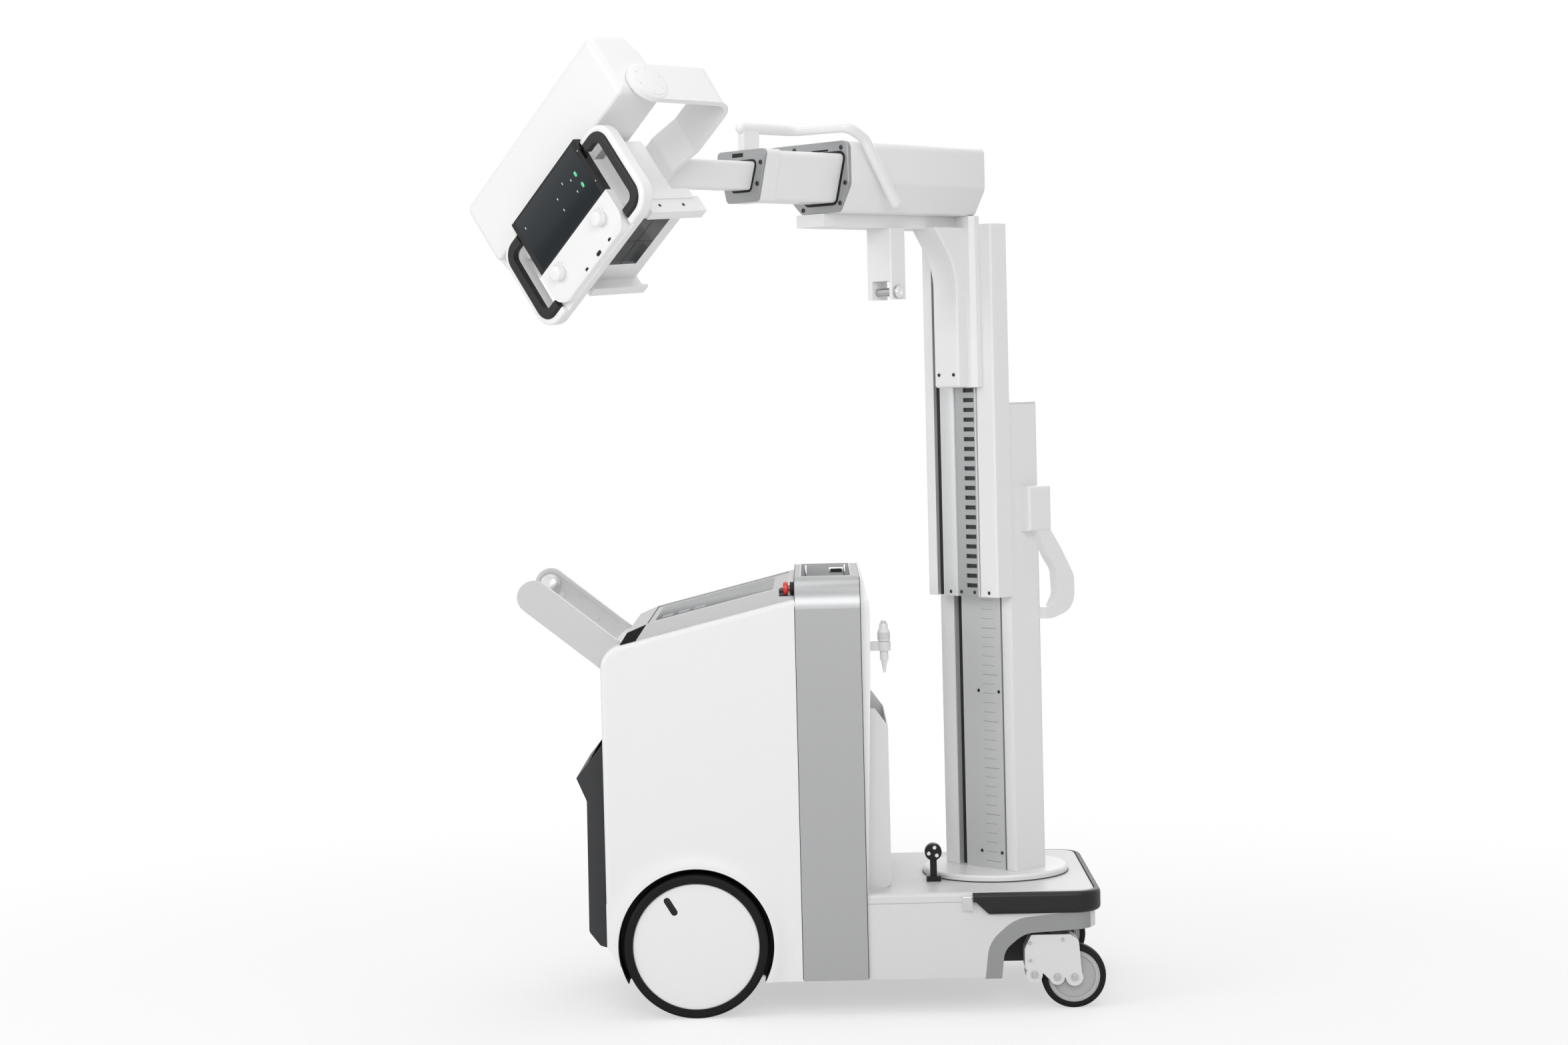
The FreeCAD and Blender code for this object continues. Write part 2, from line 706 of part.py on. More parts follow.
def tower_band():
    """Silver band up both sides and over the top of the tower."""
    outer = slab_x([(-SIDE_HALF, SHELL_BOTTOM), (-SIDE_HALF, TOWER_TOP, TOWER_SHOULDER),
                    (SIDE_HALF, TOWER_TOP, TOWER_SHOULDER), (SIDE_HALF, SHELL_BOTTOM)],
                   TOWER_REAR, TOWER_FRONT)
    half = SIDE_HALF - TOWER_WALL
    inner = slab_x([(-half, SHELL_BOTTOM - 5),
                    (-half, TOWER_TOP - TOWER_WALL, TOWER_SHOULDER - TOWER_WALL),
                    (half, TOWER_TOP - TOWER_WALL, TOWER_SHOULDER - TOWER_WALL),
                    (half, SHELL_BOTTOM - 5)], TOWER_REAR, TOWER_FRONT)
    mouth = box(TRAY_REAR, TRAY_FRONT, -TRAY_HALF, TRAY_HALF, TOWER_TOP - 40, TOWER_TOP + 10)
    return outer.cut(inner).cut(mouth)


def front_shell():
    """Bulged front shell of the tower."""
    profile = [(TOWER_FRONT, BASE_TOP), (TOWER_FRONT + 3, BASE_TOP),
               (TOWER_FRONT + FRONT_SHELL_DEPTH - 2, 697, 400),
               (TOWER_FRONT + FRONT_SHELL_DEPTH, 850, 120),
               (TOWER_FRONT + 4, FRONT_SHELL_TOP), (TOWER_FRONT, FRONT_SHELL_TOP)]
    shell = slab_y(profile, -FRONT_SHELL_HALF, FRONT_SHELL_HALF)
    corners = slab_x([(-FRONT_SHELL_HALF, BASE_TOP),
                      (-FRONT_SHELL_HALF, FRONT_SHELL_TOP, TOWER_SHOULDER),
                      (FRONT_SHELL_HALF, FRONT_SHELL_TOP, TOWER_SHOULDER),
                      (FRONT_SHELL_HALF, BASE_TOP)], TOWER_FRONT, TOWER_FRONT + 60)
    return shell.common(corners)


def top_tray():
    """Open tray in the top of the tower, with a slot in its far wall."""
    tray = box(TRAY_REAR, TRAY_FRONT, -TRAY_HALF, TRAY_HALF, TRAY_FLOOR - TRAY_WALL, TRAY_TOP)
    room = box(TRAY_REAR + TRAY_WALL, TRAY_FRONT - TRAY_WALL, -TRAY_HALF + TRAY_WALL,
               TRAY_HALF - TRAY_WALL, TRAY_FLOOR, TRAY_TOP + 1)
    slot = box(TRAY_SLOT_X, TRAY_SLOT_X + TRAY_SLOT_LENGTH, 0, TRAY_HALF, TRAY_SLOT_Z,
               TRAY_SLOT_Z + TRAY_SLOT_HEIGHT)
    return tray.cut(room).cut(slot)


def console_rise(x, height):
    """Point above the sloping top edge of the body."""
    return (x, console_line(x) + height)


def console_frame():
    """Silver rim along both sides of the console and under the stop button."""
    rear_top = CONSOLE_REAR + CONSOLE_LEAN
    profile = [console_rise(CONSOLE_REAR, 0), console_rise(rear_top, CONSOLE_HEIGHT),
               console_rise(TOWER_REAR, CONSOLE_HEIGHT), console_rise(TOWER_REAR, 0)]
    rim = slab_y(profile, -CONSOLE_HALF, CONSOLE_HALF)
    middle = box(CONSOLE_REAR - 5, TOWER_REAR - CONSOLE_RIM, -CONSOLE_HALF + CONSOLE_RIM,
                 CONSOLE_HALF - CONSOLE_RIM, 700, 1000)
    rim = rim.cut(middle)
    notch = rod(V(TOWER_REAR - 32, STOP_Y, STOP_Z), V(TOWER_REAR, STOP_Y, STOP_Z), STOP_CAP_RADIUS + 2)
    notch = notch.fuse(box(TOWER_REAR - 32, TOWER_REAR, -CONSOLE_HALF - 5, STOP_Y + STOP_CAP_RADIUS + 2,
                           STOP_Z, STOP_Z + 60))
    notch = notch.fuse(box(TOWER_REAR - 32, TOWER_REAR, -CONSOLE_HALF - 5, STOP_Y,
                           STOP_Z - STOP_CAP_RADIUS - 2, STOP_Z + 1))
    rim = rim.cut(notch)
    collar_end = TOWER_REAR - STOP_COLLAR_DEPTH
    collar = rod(V(TOWER_REAR, STOP_Y, STOP_Z), V(collar_end, STOP_Y, STOP_Z), STOP_COLLAR_RADIUS)
    bore = rod(V(TOWER_REAR + 1, STOP_Y, STOP_Z), V(collar_end - 1, STOP_Y, STOP_Z),
               STOP_STEM_RADIUS + SHAFT_FIT)
    return Part.makeCompound([one(rim), collar.cut(bore)])


def console_screen():
    """Black console glass with the wedge at its rear edge."""
    rear_top = CONSOLE_REAR + CONSOLE_LEAN
    height = CONSOLE_HEIGHT - SCREEN_DROP
    half = CONSOLE_HALF - CONSOLE_RIM
    slab_top = CONSOLE_REAR + CONSOLE_LEAN * height / CONSOLE_HEIGHT
    slab = slab_y([console_rise(CONSOLE_REAR, 0), console_rise(slab_top, height),
                   console_rise(TOWER_REAR - CONSOLE_RIM, height),
                   console_rise(TOWER_REAR - CONSOLE_RIM, 0)], -half, half)
    wedge = slab_y([console_rise(CONSOLE_REAR - WEDGE_LENGTH, 0),
                    console_rise(CONSOLE_REAR - WEDGE_LENGTH / 2, WEDGE_RISE),
                    console_rise(rear_top, CONSOLE_HEIGHT), console_rise(CONSOLE_REAR, 0)],
                   -CONSOLE_HALF, CONSOLE_HALF)
    notch = rod(V(TOWER_REAR - 32, STOP_Y, STOP_Z), V(TOWER_REAR, STOP_Y, STOP_Z), STOP_CAP_RADIUS + 2)
    for arm in handle_arm_slots():
        wedge = wedge.cut(arm)
    return one(slab.fuse(wedge).cut(notch))


def stop_button():
    """Mushroom cap that is pressed toward the tower."""
    face = TOWER_REAR - STOP_COLLAR_DEPTH - STOP_TRAVEL - RUN_GAP
    cap = rod(V(face, STOP_Y, STOP_Z), V(face - STOP_CAP_DEPTH, STOP_Y, STOP_Z), STOP_CAP_RADIUS)
    cap = softened(cap, 4, lambda e: e.CenterOfMass.x < face - STOP_CAP_DEPTH + 0.5)
    stem = rod(V(face - 1, STOP_Y, STOP_Z), V(TOWER_REAR - STOP_TRAVEL - RUN_GAP, STOP_Y, STOP_Z),
               STOP_STEM_RADIUS)
    return one(cap.fuse(stem))


def rear_bin():
    """Open bin on the rear face."""
    lip = REAR_X - BIN_DEPTH - BIN_LIP
    back = REAR_X - BIN_DEPTH
    outer = slab_y([(REAR_X, BIN_TOP), (REAR_X - 4, BIN_TOP), (lip, BIN_TOP - BIN_SLANT, 3),
                    (back + 2, BIN_TOP - BIN_SLANT - 49, 12), (back, BIN_BOTTOM + 36, 14),
                    (REAR_X - 20, BIN_BOTTOM + 6, 8), (REAR_X, BIN_BOTTOM)], -BIN_HALF, BIN_HALF)
    inner_half = BIN_HALF - BIN_WALL
    room = slab_y([(REAR_X - BIN_WALL, BIN_TOP + 5), (REAR_X - BIN_WALL - 1, BIN_TOP + 5),
                   (lip + BIN_WALL * 1.6, BIN_TOP - BIN_SLANT + BIN_WALL),
                   (back + 2 + BIN_WALL, BIN_TOP - BIN_SLANT - 49, 12), (back + BIN_WALL, BIN_BOTTOM + 40, 12),
                   (REAR_X - BIN_WALL, BIN_BOTTOM + 40)], -inner_half, inner_half)
    return outer.cut(room)


def detector_pocket():
    """Flat pocket for the detector on the tower front."""
    base = BASE_TOP
    outer = slab_y([(TOWER_FRONT, base), (TOWER_FRONT, POCKET_TOP),
                    (POCKET_FRONT - POCKET_MOUTH, POCKET_TOP, 4),
                    (POCKET_FRONT, POCKET_TOP - 37, 4), (POCKET_FRONT, base, POCKET_ROUND)],
                   -POCKET_HALF, POCKET_HALF)
    inner_half = POCKET_HALF - POCKET_WALL
    front = POCKET_FRONT - POCKET_WALL
    room = slab_y([(TOWER_FRONT - 5, base + POCKET_WALL), (TOWER_FRONT - 5, POCKET_TOP + 20),
                   (front, POCKET_TOP + 20), (front, base + POCKET_WALL, POCKET_ROUND - POCKET_WALL)],
                  -inner_half, inner_half)
    return one(outer.cut(room).cut(front_shell()))


def handle_arms():
    """Two flat arms of the push handle, each hollowed on its inner face."""
    arm = handle_arm_blank(-HANDLE_OUTER, -HANDLE_OUTER + HANDLE_THICK)
    inner_face = -HANDLE_OUTER + HANDLE_THICK
    pocket = handle_arm_blank(inner_face - HANDLE_RECESS, inner_face + 1, HANDLE_RIM)
    pocket = pocket.common(placed(box(-60, HANDLE_LENGTH - 70, -400, 400, -60, 60),
                                  Place(V(HANDLE_X, 0, HANDLE_Z), Turn(V(0, 1, 0), HANDLE_SLOPE))))
    arm = one(arm.cut(pocket))
    return Part.makeCompound([arm, mirrored(arm)])


def handle_bar():
    """Round grip bar with a stepped collar at each end."""
    half = HANDLE_OUTER - HANDLE_THICK + HANDLE_RECESS
    bar = rod(V(HANDLE_X, -half, HANDLE_Z), V(HANDLE_X, half, HANDLE_Z), GRIP_RADIUS)
    near = rod(V(HANDLE_X, -half, HANDLE_Z), V(HANDLE_X, -half + COLLAR_LENGTH, HANDLE_Z), COLLAR_RADIUS)
    return one(bar.fuse([near, mirrored(near)]))


def switch_holder():
    """Bracket with a ring that holds the hand switch."""
    outer = SWITCH_RADIUS + GUIDE_GAP + HOLDER_WALL
    height = HOLDER_HIGH - HOLDER_LOW
    ring = Part.makeCylinder(outer, height, V(SWITCH_X, SWITCH_Y, HOLDER_LOW))
    stalk = box(TOWER_FRONT, SWITCH_X, SWITCH_Y - 7, SWITCH_Y + 7, HOLDER_LOW, HOLDER_HIGH)
    hole = Part.makeCylinder(SWITCH_RADIUS + GUIDE_GAP, height + 2, V(SWITCH_X, SWITCH_Y, HOLDER_LOW - 1))
    return one(ring.fuse(stalk).cut(hole).cut(front_shell()))


def hand_switch():
    """Exposure hand switch, standing in its holder."""
    seat = HOLDER_HIGH + RUN_GAP
    half = SWITCH_HEAD_RADIUS
    profile = [(0, SWITCH_TIP), (2, SWITCH_TIP), (SWITCH_RADIUS * 0.75, SWITCH_LOW),
               (SWITCH_RADIUS, SWITCH_LOW), (SWITCH_RADIUS, seat), (half - 2, seat), (half, seat + 8),
               (half, SWITCH_TOP - 16), (SWITCH_RADIUS, SWITCH_TOP - 10), (SWITCH_RADIUS, SWITCH_TOP),
               (0, SWITCH_TOP)]
    wire = outline(profile, lambda p: V(p.x, 0, p.y))
    body = Part.Face(wire).revolve(V(0, 0, 0), V(0, 0, 1), 360)
    body = placed(body, Place(V(SWITCH_X, SWITCH_Y, 0), Turn()))
    depth = BUTTON_DEPTH + BUTTON_TRAVEL + BUTTON_ROOM
    bore = Part.makeCylinder(BUTTON_RADIUS + SHAFT_FIT, depth, V(SWITCH_X, SWITCH_Y, SWITCH_TOP - depth))
    return one(body.cut(bore))


def switch_button():
    """Exposure button in the top of the hand switch."""
    button = Part.makeCylinder(BUTTON_RADIUS, BUTTON_DEPTH + BUTTON_STAND,
                               V(SWITCH_X, SWITCH_Y, SWITCH_TOP - BUTTON_DEPTH))
    return softened(button, 1.5, lambda e: e.CenterOfMass.z > SWITCH_TOP + BUTTON_STAND - 0.5)


def lock_post():
    """Park post on the base: a foot, a stem and a round head."""
    half = PARK_FOOT / 2
    foot = box(PARK_X - half, PARK_X + half, PARK_Y - half, PARK_Y + half, BASE_TOP,
               BASE_TOP + PARK_FOOT_HEIGHT)
    stem = box(PARK_X - PARK_STEM / 2, PARK_X + PARK_STEM / 2, PARK_Y - PARK_STEM / 2,
               PARK_Y + PARK_STEM / 2, BASE_TOP, PARK_Z)
    head = rod(V(PARK_X, PARK_Y - PARK_THICK / 2, PARK_Z), V(PARK_X, PARK_Y + PARK_THICK / 2, PARK_Z),
               PARK_RADIUS)
    head = softened(head, 2.5, lambda e: abs(e.CenterOfMass.y - PARK_Y) > PARK_THICK / 2 - 0.5)
    return one(foot.fuse([stem, head]))


def power_units():
    """Battery pack, generator tank and the two drive motors with their axle ends."""
    deck_top = DECK_Z + DECK_THICK
    battery = box(BATTERY_REAR, UNIT_FRONT, -UNIT_HALF, UNIT_HALF, deck_top, BATTERY_TOP)
    generator = box(GENERATOR_REAR, UNIT_FRONT, -UNIT_HALF, UNIT_HALF, SHELF_LOW + SHELF_THICK, GENERATOR_TOP)
    motor = rod(V(DRIVE_X, -MOTOR_INNER, DRIVE_RADIUS), V(DRIVE_X, -INNER_HALF + 2, DRIVE_RADIUS),
                MOTOR_RADIUS)
    foot = box(DRIVE_X - MOTOR_FOOT, DRIVE_X + MOTOR_FOOT, -INNER_HALF + 20, -MOTOR_INNER - 20, deck_top, DRIVE_RADIUS)
    axle = rod(V(DRIVE_X, -INNER_HALF + 10, DRIVE_RADIUS),
               V(DRIVE_X, -DRIVE_OUTER + DRIVE_WIDTH - AXLE_BORE_DEPTH + 2, DRIVE_RADIUS), AXLE_RADIUS)
    unit = one(motor.fuse([foot, axle]))
    return Part.makeCompound([battery, generator, unit, mirrored(unit)])


def rear_rim():
    """Flat disc wheel of the near drive wheel, with a radial index slot and a blind axle bore."""
    radius = DRIVE_RADIUS - TYRE_DEPTH
    inner = -DRIVE_OUTER + DRIVE_WIDTH
    rim = rod(V(DRIVE_X, -DRIVE_OUTER + RIM_FACE_DROP, DRIVE_RADIUS), V(DRIVE_X, inner, DRIVE_RADIUS), radius)
    rim = softened(rim, 3, lambda e: e.CenterOfMass.y < -DRIVE_OUTER + RIM_FACE_DROP + 0.5)
    well = rod(V(DRIVE_X, inner - RIM_INNER_POCKET, DRIVE_RADIUS), V(DRIVE_X, inner + 1, DRIVE_RADIUS),
               radius - 14)
    hub = rod(V(DRIVE_X, inner - RIM_INNER_POCKET - 2, DRIVE_RADIUS), V(DRIVE_X, inner, DRIVE_RADIUS), 38)
    bore = rod(V(DRIVE_X, inner - AXLE_BORE_DEPTH, DRIVE_RADIUS), V(DRIVE_X, inner + 1, DRIVE_RADIUS),
               AXLE_RADIUS + SHAFT_FIT)
    half = SLOT_LENGTH / 2 - SLOT_WIDTH / 2
    slot = box(SLOT_CENTRE - half, SLOT_CENTRE + half, -DRIVE_OUTER - 5,
               -DRIVE_OUTER + RIM_FACE_DROP + SLOT_DEPTH, -SLOT_WIDTH / 2, SLOT_WIDTH / 2)
    for end in (-half, half):
        slot = slot.fuse(rod(V(SLOT_CENTRE + end, -DRIVE_OUTER - 5, 0),
                             V(SLOT_CENTRE + end, -DRIVE_OUTER + RIM_FACE_DROP + SLOT_DEPTH, 0),
                             SLOT_WIDTH / 2))
    slot = placed(slot, Place(V(DRIVE_X, 0, DRIVE_RADIUS), Turn(V(0, 1, 0), -SLOT_ANGLE)))
    return one(rim.cut(well).fuse(hub).cut(bore).cut(slot))


def rear_tyre():
    """Solid tyre round the near drive wheel."""
    inner = -DRIVE_OUTER + DRIVE_WIDTH
    tyre = rod(V(DRIVE_X, -DRIVE_OUTER, DRIVE_RADIUS), V(DRIVE_X, inner, DRIVE_RADIUS), DRIVE_RADIUS)
    tyre = softened(tyre, 6, lambda e: e.Length > 600 and e.BoundBox.YLength < 0.1)
    return tyre.cut(rod(V(DRIVE_X, -DRIVE_OUTER - 5, DRIVE_RADIUS), V(DRIVE_X, inner + 5, DRIVE_RADIUS),
                        DRIVE_RADIUS - TYRE_DEPTH))


def caster_fork():
    """Near caster fork: a hooded housing with two cheeks, a stem and the wheel pin."""
    half = CASTER_WIDTH / 2 + FORK_SIDE_GAP + FORK_CHEEK
    axle_x = CASTER_X + CASTER_TRAIL
    back = CASTER_X - 68
    profile = [(back, 84, 8), (back, 128, 4), (back + 14, FORK_TOP, 4), (CASTER_X + 26, FORK_TOP, 10),
               (CASTER_X + 44, FORK_TOP - 12, 12), (CASTER_X + 50, CASTER_RADIUS),
               (CASTER_X - 20, CASTER_RADIUS - 2, 6), (CASTER_X - 30, 76)]
    near = CASTER_Y
    body = slab_y(profile, -near - half, -near + half)
    for x, z, radius in ((axle_x, CASTER_RADIUS, 18), (CASTER_X - 49, 74, 17), (CASTER_X - 2, 68, 16)):
        body = body.fuse(rod(V(x, -near - half, z), V(x, -near + half, z), radius))
    room = rod(V(axle_x, -near - CASTER_WIDTH / 2 - FORK_SIDE_GAP, CASTER_RADIUS),
               V(axle_x, -near + CASTER_WIDTH / 2 + FORK_SIDE_GAP, CASTER_RADIUS),
               CASTER_RADIUS + FORK_WHEEL_GAP)
    room = room.fuse(box(back - 10, axle_x + 80, -near - CASTER_WIDTH / 2 - FORK_SIDE_GAP,
                         -near + CASTER_WIDTH / 2 + FORK_SIDE_GAP, 0, CASTER_RADIUS))
    body = body.cut(room)
    pin = rod(V(axle_x, -near - half + 1, CASTER_RADIUS), V(axle_x, -near + half - 1, CASTER_RADIUS),
              CASTER_AXLE_RADIUS)
    stem = Part.makeCylinder(STEM_RADIUS, BEAM_TOP + CASTER_PLATE - FORK_TOP + 3,
                             V(CASTER_X, -near, FORK_TOP - 3))
    return one(body.fuse([pin, stem]))


def caster_hub():
    """Light grey hub of the near caster wheel, with a ring step on each face."""
    axle_x = CASTER_X + CASTER_TRAIL
    half = CASTER_WIDTH / 2
    outer = CASTER_RADIUS - CASTER_TYRE
    hub = rod(V(axle_x, -CASTER_Y - half + 2, CASTER_RADIUS), V(axle_x, -CASTER_Y + half - 2, CASTER_RADIUS),
              outer)
    for side in (-1, 1):
        face = -CASTER_Y + side * (half - 2)
        ring = rod(V(axle_x, face, CASTER_RADIUS), V(axle_x, face - side * 4, CASTER_RADIUS), outer - 9)
        boss = rod(V(axle_x, face, CASTER_RADIUS), V(axle_x, face - side * 4, CASTER_RADIUS), 20)
        hub = hub.cut(ring.cut(boss))
    bore = rod(V(axle_x, -CASTER_Y - half, CASTER_RADIUS), V(axle_x, -CASTER_Y + half, CASTER_RADIUS),
               CASTER_AXLE_RADIUS + SHAFT_FIT)
    return hub.cut(bore)


def caster_tyre():
    """Rubber tyre of the near caster wheel."""
    axle_x = CASTER_X + CASTER_TRAIL
    half = CASTER_WIDTH / 2
    tyre = rod(V(axle_x, -CASTER_Y - half, CASTER_RADIUS), V(axle_x, -CASTER_Y + half, CASTER_RADIUS),
               CASTER_RADIUS)
    tyre = softened(tyre, 8, lambda e: e.Length > 300 and e.BoundBox.YLength < 0.1)
    return tyre.cut(rod(V(axle_x, -CASTER_Y - half - 1, CASTER_RADIUS),
                        V(axle_x, -CASTER_Y + half + 1, CASTER_RADIUS), CASTER_RADIUS - CASTER_TYRE))


def caster_boots():
    """Rubber boots between the caster forks and the plate."""
    height = BEAM_TOP - FORK_TOP - BOOT_GAP
    low = FORK_TOP + BOOT_GAP
    boot = Part.makeCylinder(BOOT_RADIUS, height, V(CASTER_X, -CASTER_Y, low))
    boot = softened(boot, 3, lambda e: e.Length > 150 and e.CenterOfMass.z < low + 0.5)
    hole = Part.makeCylinder(STEM_RADIUS + GUIDE_GAP, height + 4, V(CASTER_X, -CASTER_Y, low - 2))
    boot = boot.cut(hole)
    return Part.makeCompound([boot, mirrored(boot)])


# Column

def turntable():
    """Disc that carries the mast, with the spigot that turns in the pedestal."""
    disc = Part.makeCylinder(TABLE_RADIUS, TABLE_TOP - TABLE_LOW, V(0, 0, TABLE_LOW))
    rim = [edge for edge in disc.Edges if edge.CenterOfMass.z > TABLE_TOP - 0.5 and edge.Length > 100]
    disc = disc.makeChamfer(TABLE_CHAMFER, rim)
    spigot = Part.makeCylinder(SPIGOT_RADIUS, SPIGOT_LENGTH + 1, V(0, 0, TABLE_LOW - SPIGOT_LENGTH))
    return one(disc.fuse(spigot))


def mast_core():
    """Plan of the aluminium mast inside its cover."""
    return [(MAST_BACK + COVER_WALL, MAST_LEFT + COVER_WALL), (MAST_FRONT, MAST_LEFT + COVER_WALL),
            (MAST_FRONT, MAST_RIGHT - COVER_WALL), (MAST_BACK + COVER_WALL, MAST_RIGHT - COVER_WALL)]


def mast_profile():
    """Aluminium mast with the guide slot, the channel and the recess for the scale."""
    mast = slab_z(mast_core(), TABLE_TOP, MAST_TOP)
    slot = box(MAST_FRONT - MAST_SLOT_DEPTH, MAST_FRONT + 1, MAST_SLOT_LEFT,
               MAST_SLOT_LEFT + MAST_SLOT_WIDTH, TABLE_TOP - 1, MAST_TOP + 1)
    recess = box(MAST_FRONT - SCALE_THICK, MAST_FRONT + 1, SCALE_LEFT, SCALE_RIGHT, TABLE_TOP - 1,
                 MAST_TOP + 1)
    channel = box(MAST_FRONT - CHANNEL_DEPTH, MAST_FRONT + 1, SCALE_RIGHT, SCALE_RIGHT + CHANNEL_WIDTH,
                  TABLE_TOP - 1, MAST_TOP + 1)
    return mast.cut(slot).cut(recess).cut(channel)


def mast_scale():
    """Scale panel in the front of the mast."""
    return box(MAST_FRONT - SCALE_THICK, MAST_FRONT - 0.4, SCALE_LEFT, SCALE_RIGHT, TABLE_TOP, MAST_TOP)


def mast_cover():
    """White cover round the sides and back of the mast."""
    outer = slab_z([(MAST_BACK, MAST_LEFT, 12), (MAST_FRONT, MAST_LEFT), (MAST_FRONT, MAST_RIGHT),
                    (MAST_BACK, MAST_RIGHT, 12)], TABLE_TOP, MAST_TOP)
    return outer.cut(slab_z(mast_core(), TABLE_TOP - 1, MAST_TOP + 1))


def cable_guide():
    """Clamp block on the mast's near side and the hose that loops out of it and back."""
    face = MAST_RIGHT
    block = box(GUIDE_BOX_BACK, GUIDE_BOX_FRONT, face, face + GUIDE_BOX_DEPTH, GUIDE_BOX_LOW, GUIDE_BOX_HIGH)
    block = softened(block, 6, lambda e: e.CenterOfMass.y > face + GUIDE_BOX_DEPTH - 0.5)
    hose = slab_y([(-15, GUIDE_BOX_LOW + 2), (GUIDE_BOX_BACK + 2, GUIDE_BOX_LOW + 2), (-89, 948, 30),
                   (-131, 885, 40), (-131, 815, 45), (-62, 798, 20), (-38, 798), (-38, 822),
                   (-60, 824, 12), (-78, 848, 20), (-74, 900, 30), (-49, 931, 30)], face,
                  face + HOSE_WIDTH)
    return one(block.fuse(hose))


# Lifting stage

def stage_profile():
    """Aluminium stage that lifts on the mast, with a tongue in the mast slot."""
    back = MAST_FRONT + STAGE_GAP
    front = back + STAGE_DEPTH
    body = slab_z([(back, STAGE_LEFT), (front, STAGE_LEFT, STAGE_EDGE), (front, STAGE_RIGHT, STAGE_EDGE),
                   (back, STAGE_RIGHT)], STAGE_LOW, STAGE_TOP)
    slot = box(front - STAGE_SLOT_DEPTH, front + 1, STAGE_SLOT_LEFT, STAGE_SLOT_LEFT + STAGE_SLOT_WIDTH,
               STAGE_LOW - 1, STAGE_TOP + 1)
    recess = box(front - RACK_RECESS, front + 1, RACK_LEFT, RACK_RIGHT, STAGE_LOW - 1, STAGE_TOP + 1)
    channel = box(front - CHANNEL_DEPTH - 4, front + 1, RACK_RIGHT + 2, RACK_RIGHT + 2 + CHANNEL_WIDTH,
                  STAGE_LOW - 1, STAGE_TOP + 1)
    body = body.cut(slot).cut(recess).cut(channel)
    tongue = box(MAST_FRONT - MAST_SLOT_DEPTH + GUIDE_GAP, back, MAST_SLOT_LEFT + GUIDE_GAP,
                 MAST_SLOT_LEFT + MAST_SLOT_WIDTH - GUIDE_GAP, STAGE_LOW, STAGE_LOW + GUIDE_LENGTH)
    return one(body.fuse(tongue))


def stage_rack():
    """Slotted strip in the front of the stage."""
    front = MAST_FRONT + STAGE_GAP + STAGE_DEPTH
    back = front - RACK_RECESS
    rack = box(back, back + RACK_THICK, RACK_LEFT, RACK_RIGHT, STAGE_LOW, STAGE_TOP)
    count = int((STAGE_TOP - RACK_FIRST) / RACK_PITCH)
    slots = []
    for i in range(count):
        low = RACK_FIRST + i * RACK_PITCH
        slots.append(box(back - 1, back + RACK_THICK + 1, RACK_SLOT_LEFT,
                         RACK_SLOT_LEFT + RACK_SLOT_WIDTH, low, low + RACK_SLOT_HEIGHT))
    return rack.cut(Part.makeCompound(slots))


# Carriage and arm

def arm_bracket():
    """Bracket on the stage that flares into the beam under the arm."""
    face = MAST_FRONT + STAGE_GAP + STAGE_DEPTH + RUN_GAP
    web = slab_y([(face, BRACKET_LOW), (BRACKET_FRONT, BRACKET_LOW, 6), (BRACKET_FRONT, 1545, 130),
                  (BRACKET_FRONT + 62, ARM_BEAM_LOW + 2), (face, ARM_BEAM_LOW + 2)],
                 BRACKET_LEFT, BRACKET_RIGHT)
    web = softened(web, 5, lambda e: e.CenterOfMass.x > BRACKET_FRONT - 1 and e.CenterOfMass.z < 1450
                   and e.Length > 30)
    plate = slab_z([(face, BRACKET_PLATE_LEFT), (BRACKET_PLATE_FRONT - 4, BRACKET_PLATE_LEFT, 3),
                    (BRACKET_PLATE_FRONT, BRACKET_PLATE_LEFT + 4),
                    (BRACKET_PLATE_FRONT, BRACKET_PLATE_RIGHT - BRACKET_BEVEL),
                    (BRACKET_PLATE_FRONT - BRACKET_BEVEL, BRACKET_PLATE_RIGHT), (face, BRACKET_PLATE_RIGHT)],
                   BRACKET_LOW, HOUSING_LOW)
    web = web.fuse(plate)
    beam = box(face, HOUSING_FRONT + END_FRAME_THICK, BEAM_SPAN_LEFT, BEAM_SPAN_RIGHT, ARM_BEAM_LOW,
               HOUSING_LOW)
    shoe = box(face - RACK_RECESS + RACK_THICK + GUIDE_GAP, face + 1, RACK_LEFT + GUIDE_GAP,
               RACK_RIGHT - GUIDE_GAP, BRACKET_LOW, 1600)
    return one(web.fuse([beam, shoe]))


def arm_housing():
    """White housing of the telescopic arm, hollow for the middle tube."""
    outer = slab_x([(HOUSING_LEFT, HOUSING_LOW, HOUSING_ROUND), (HOUSING_LEFT, HOUSING_TOP, HOUSING_ROUND),
                    (HOUSING_RIGHT, HOUSING_TOP, HOUSING_ROUND), (HOUSING_RIGHT, HOUSING_LOW, HOUSING_ROUND)],
                   HOUSING_BACK, HOUSING_FRONT)
    room = slab_x(trapezoid(MID_HALF_TOP, MID_HALF_LOW, MID_LOW, MID_TOP, MID_ROUND, TUBE_GAP),
                  HOUSING_BACK + HOUSING_WALL, HOUSING_FRONT + 5)
    return outer.cut(room)


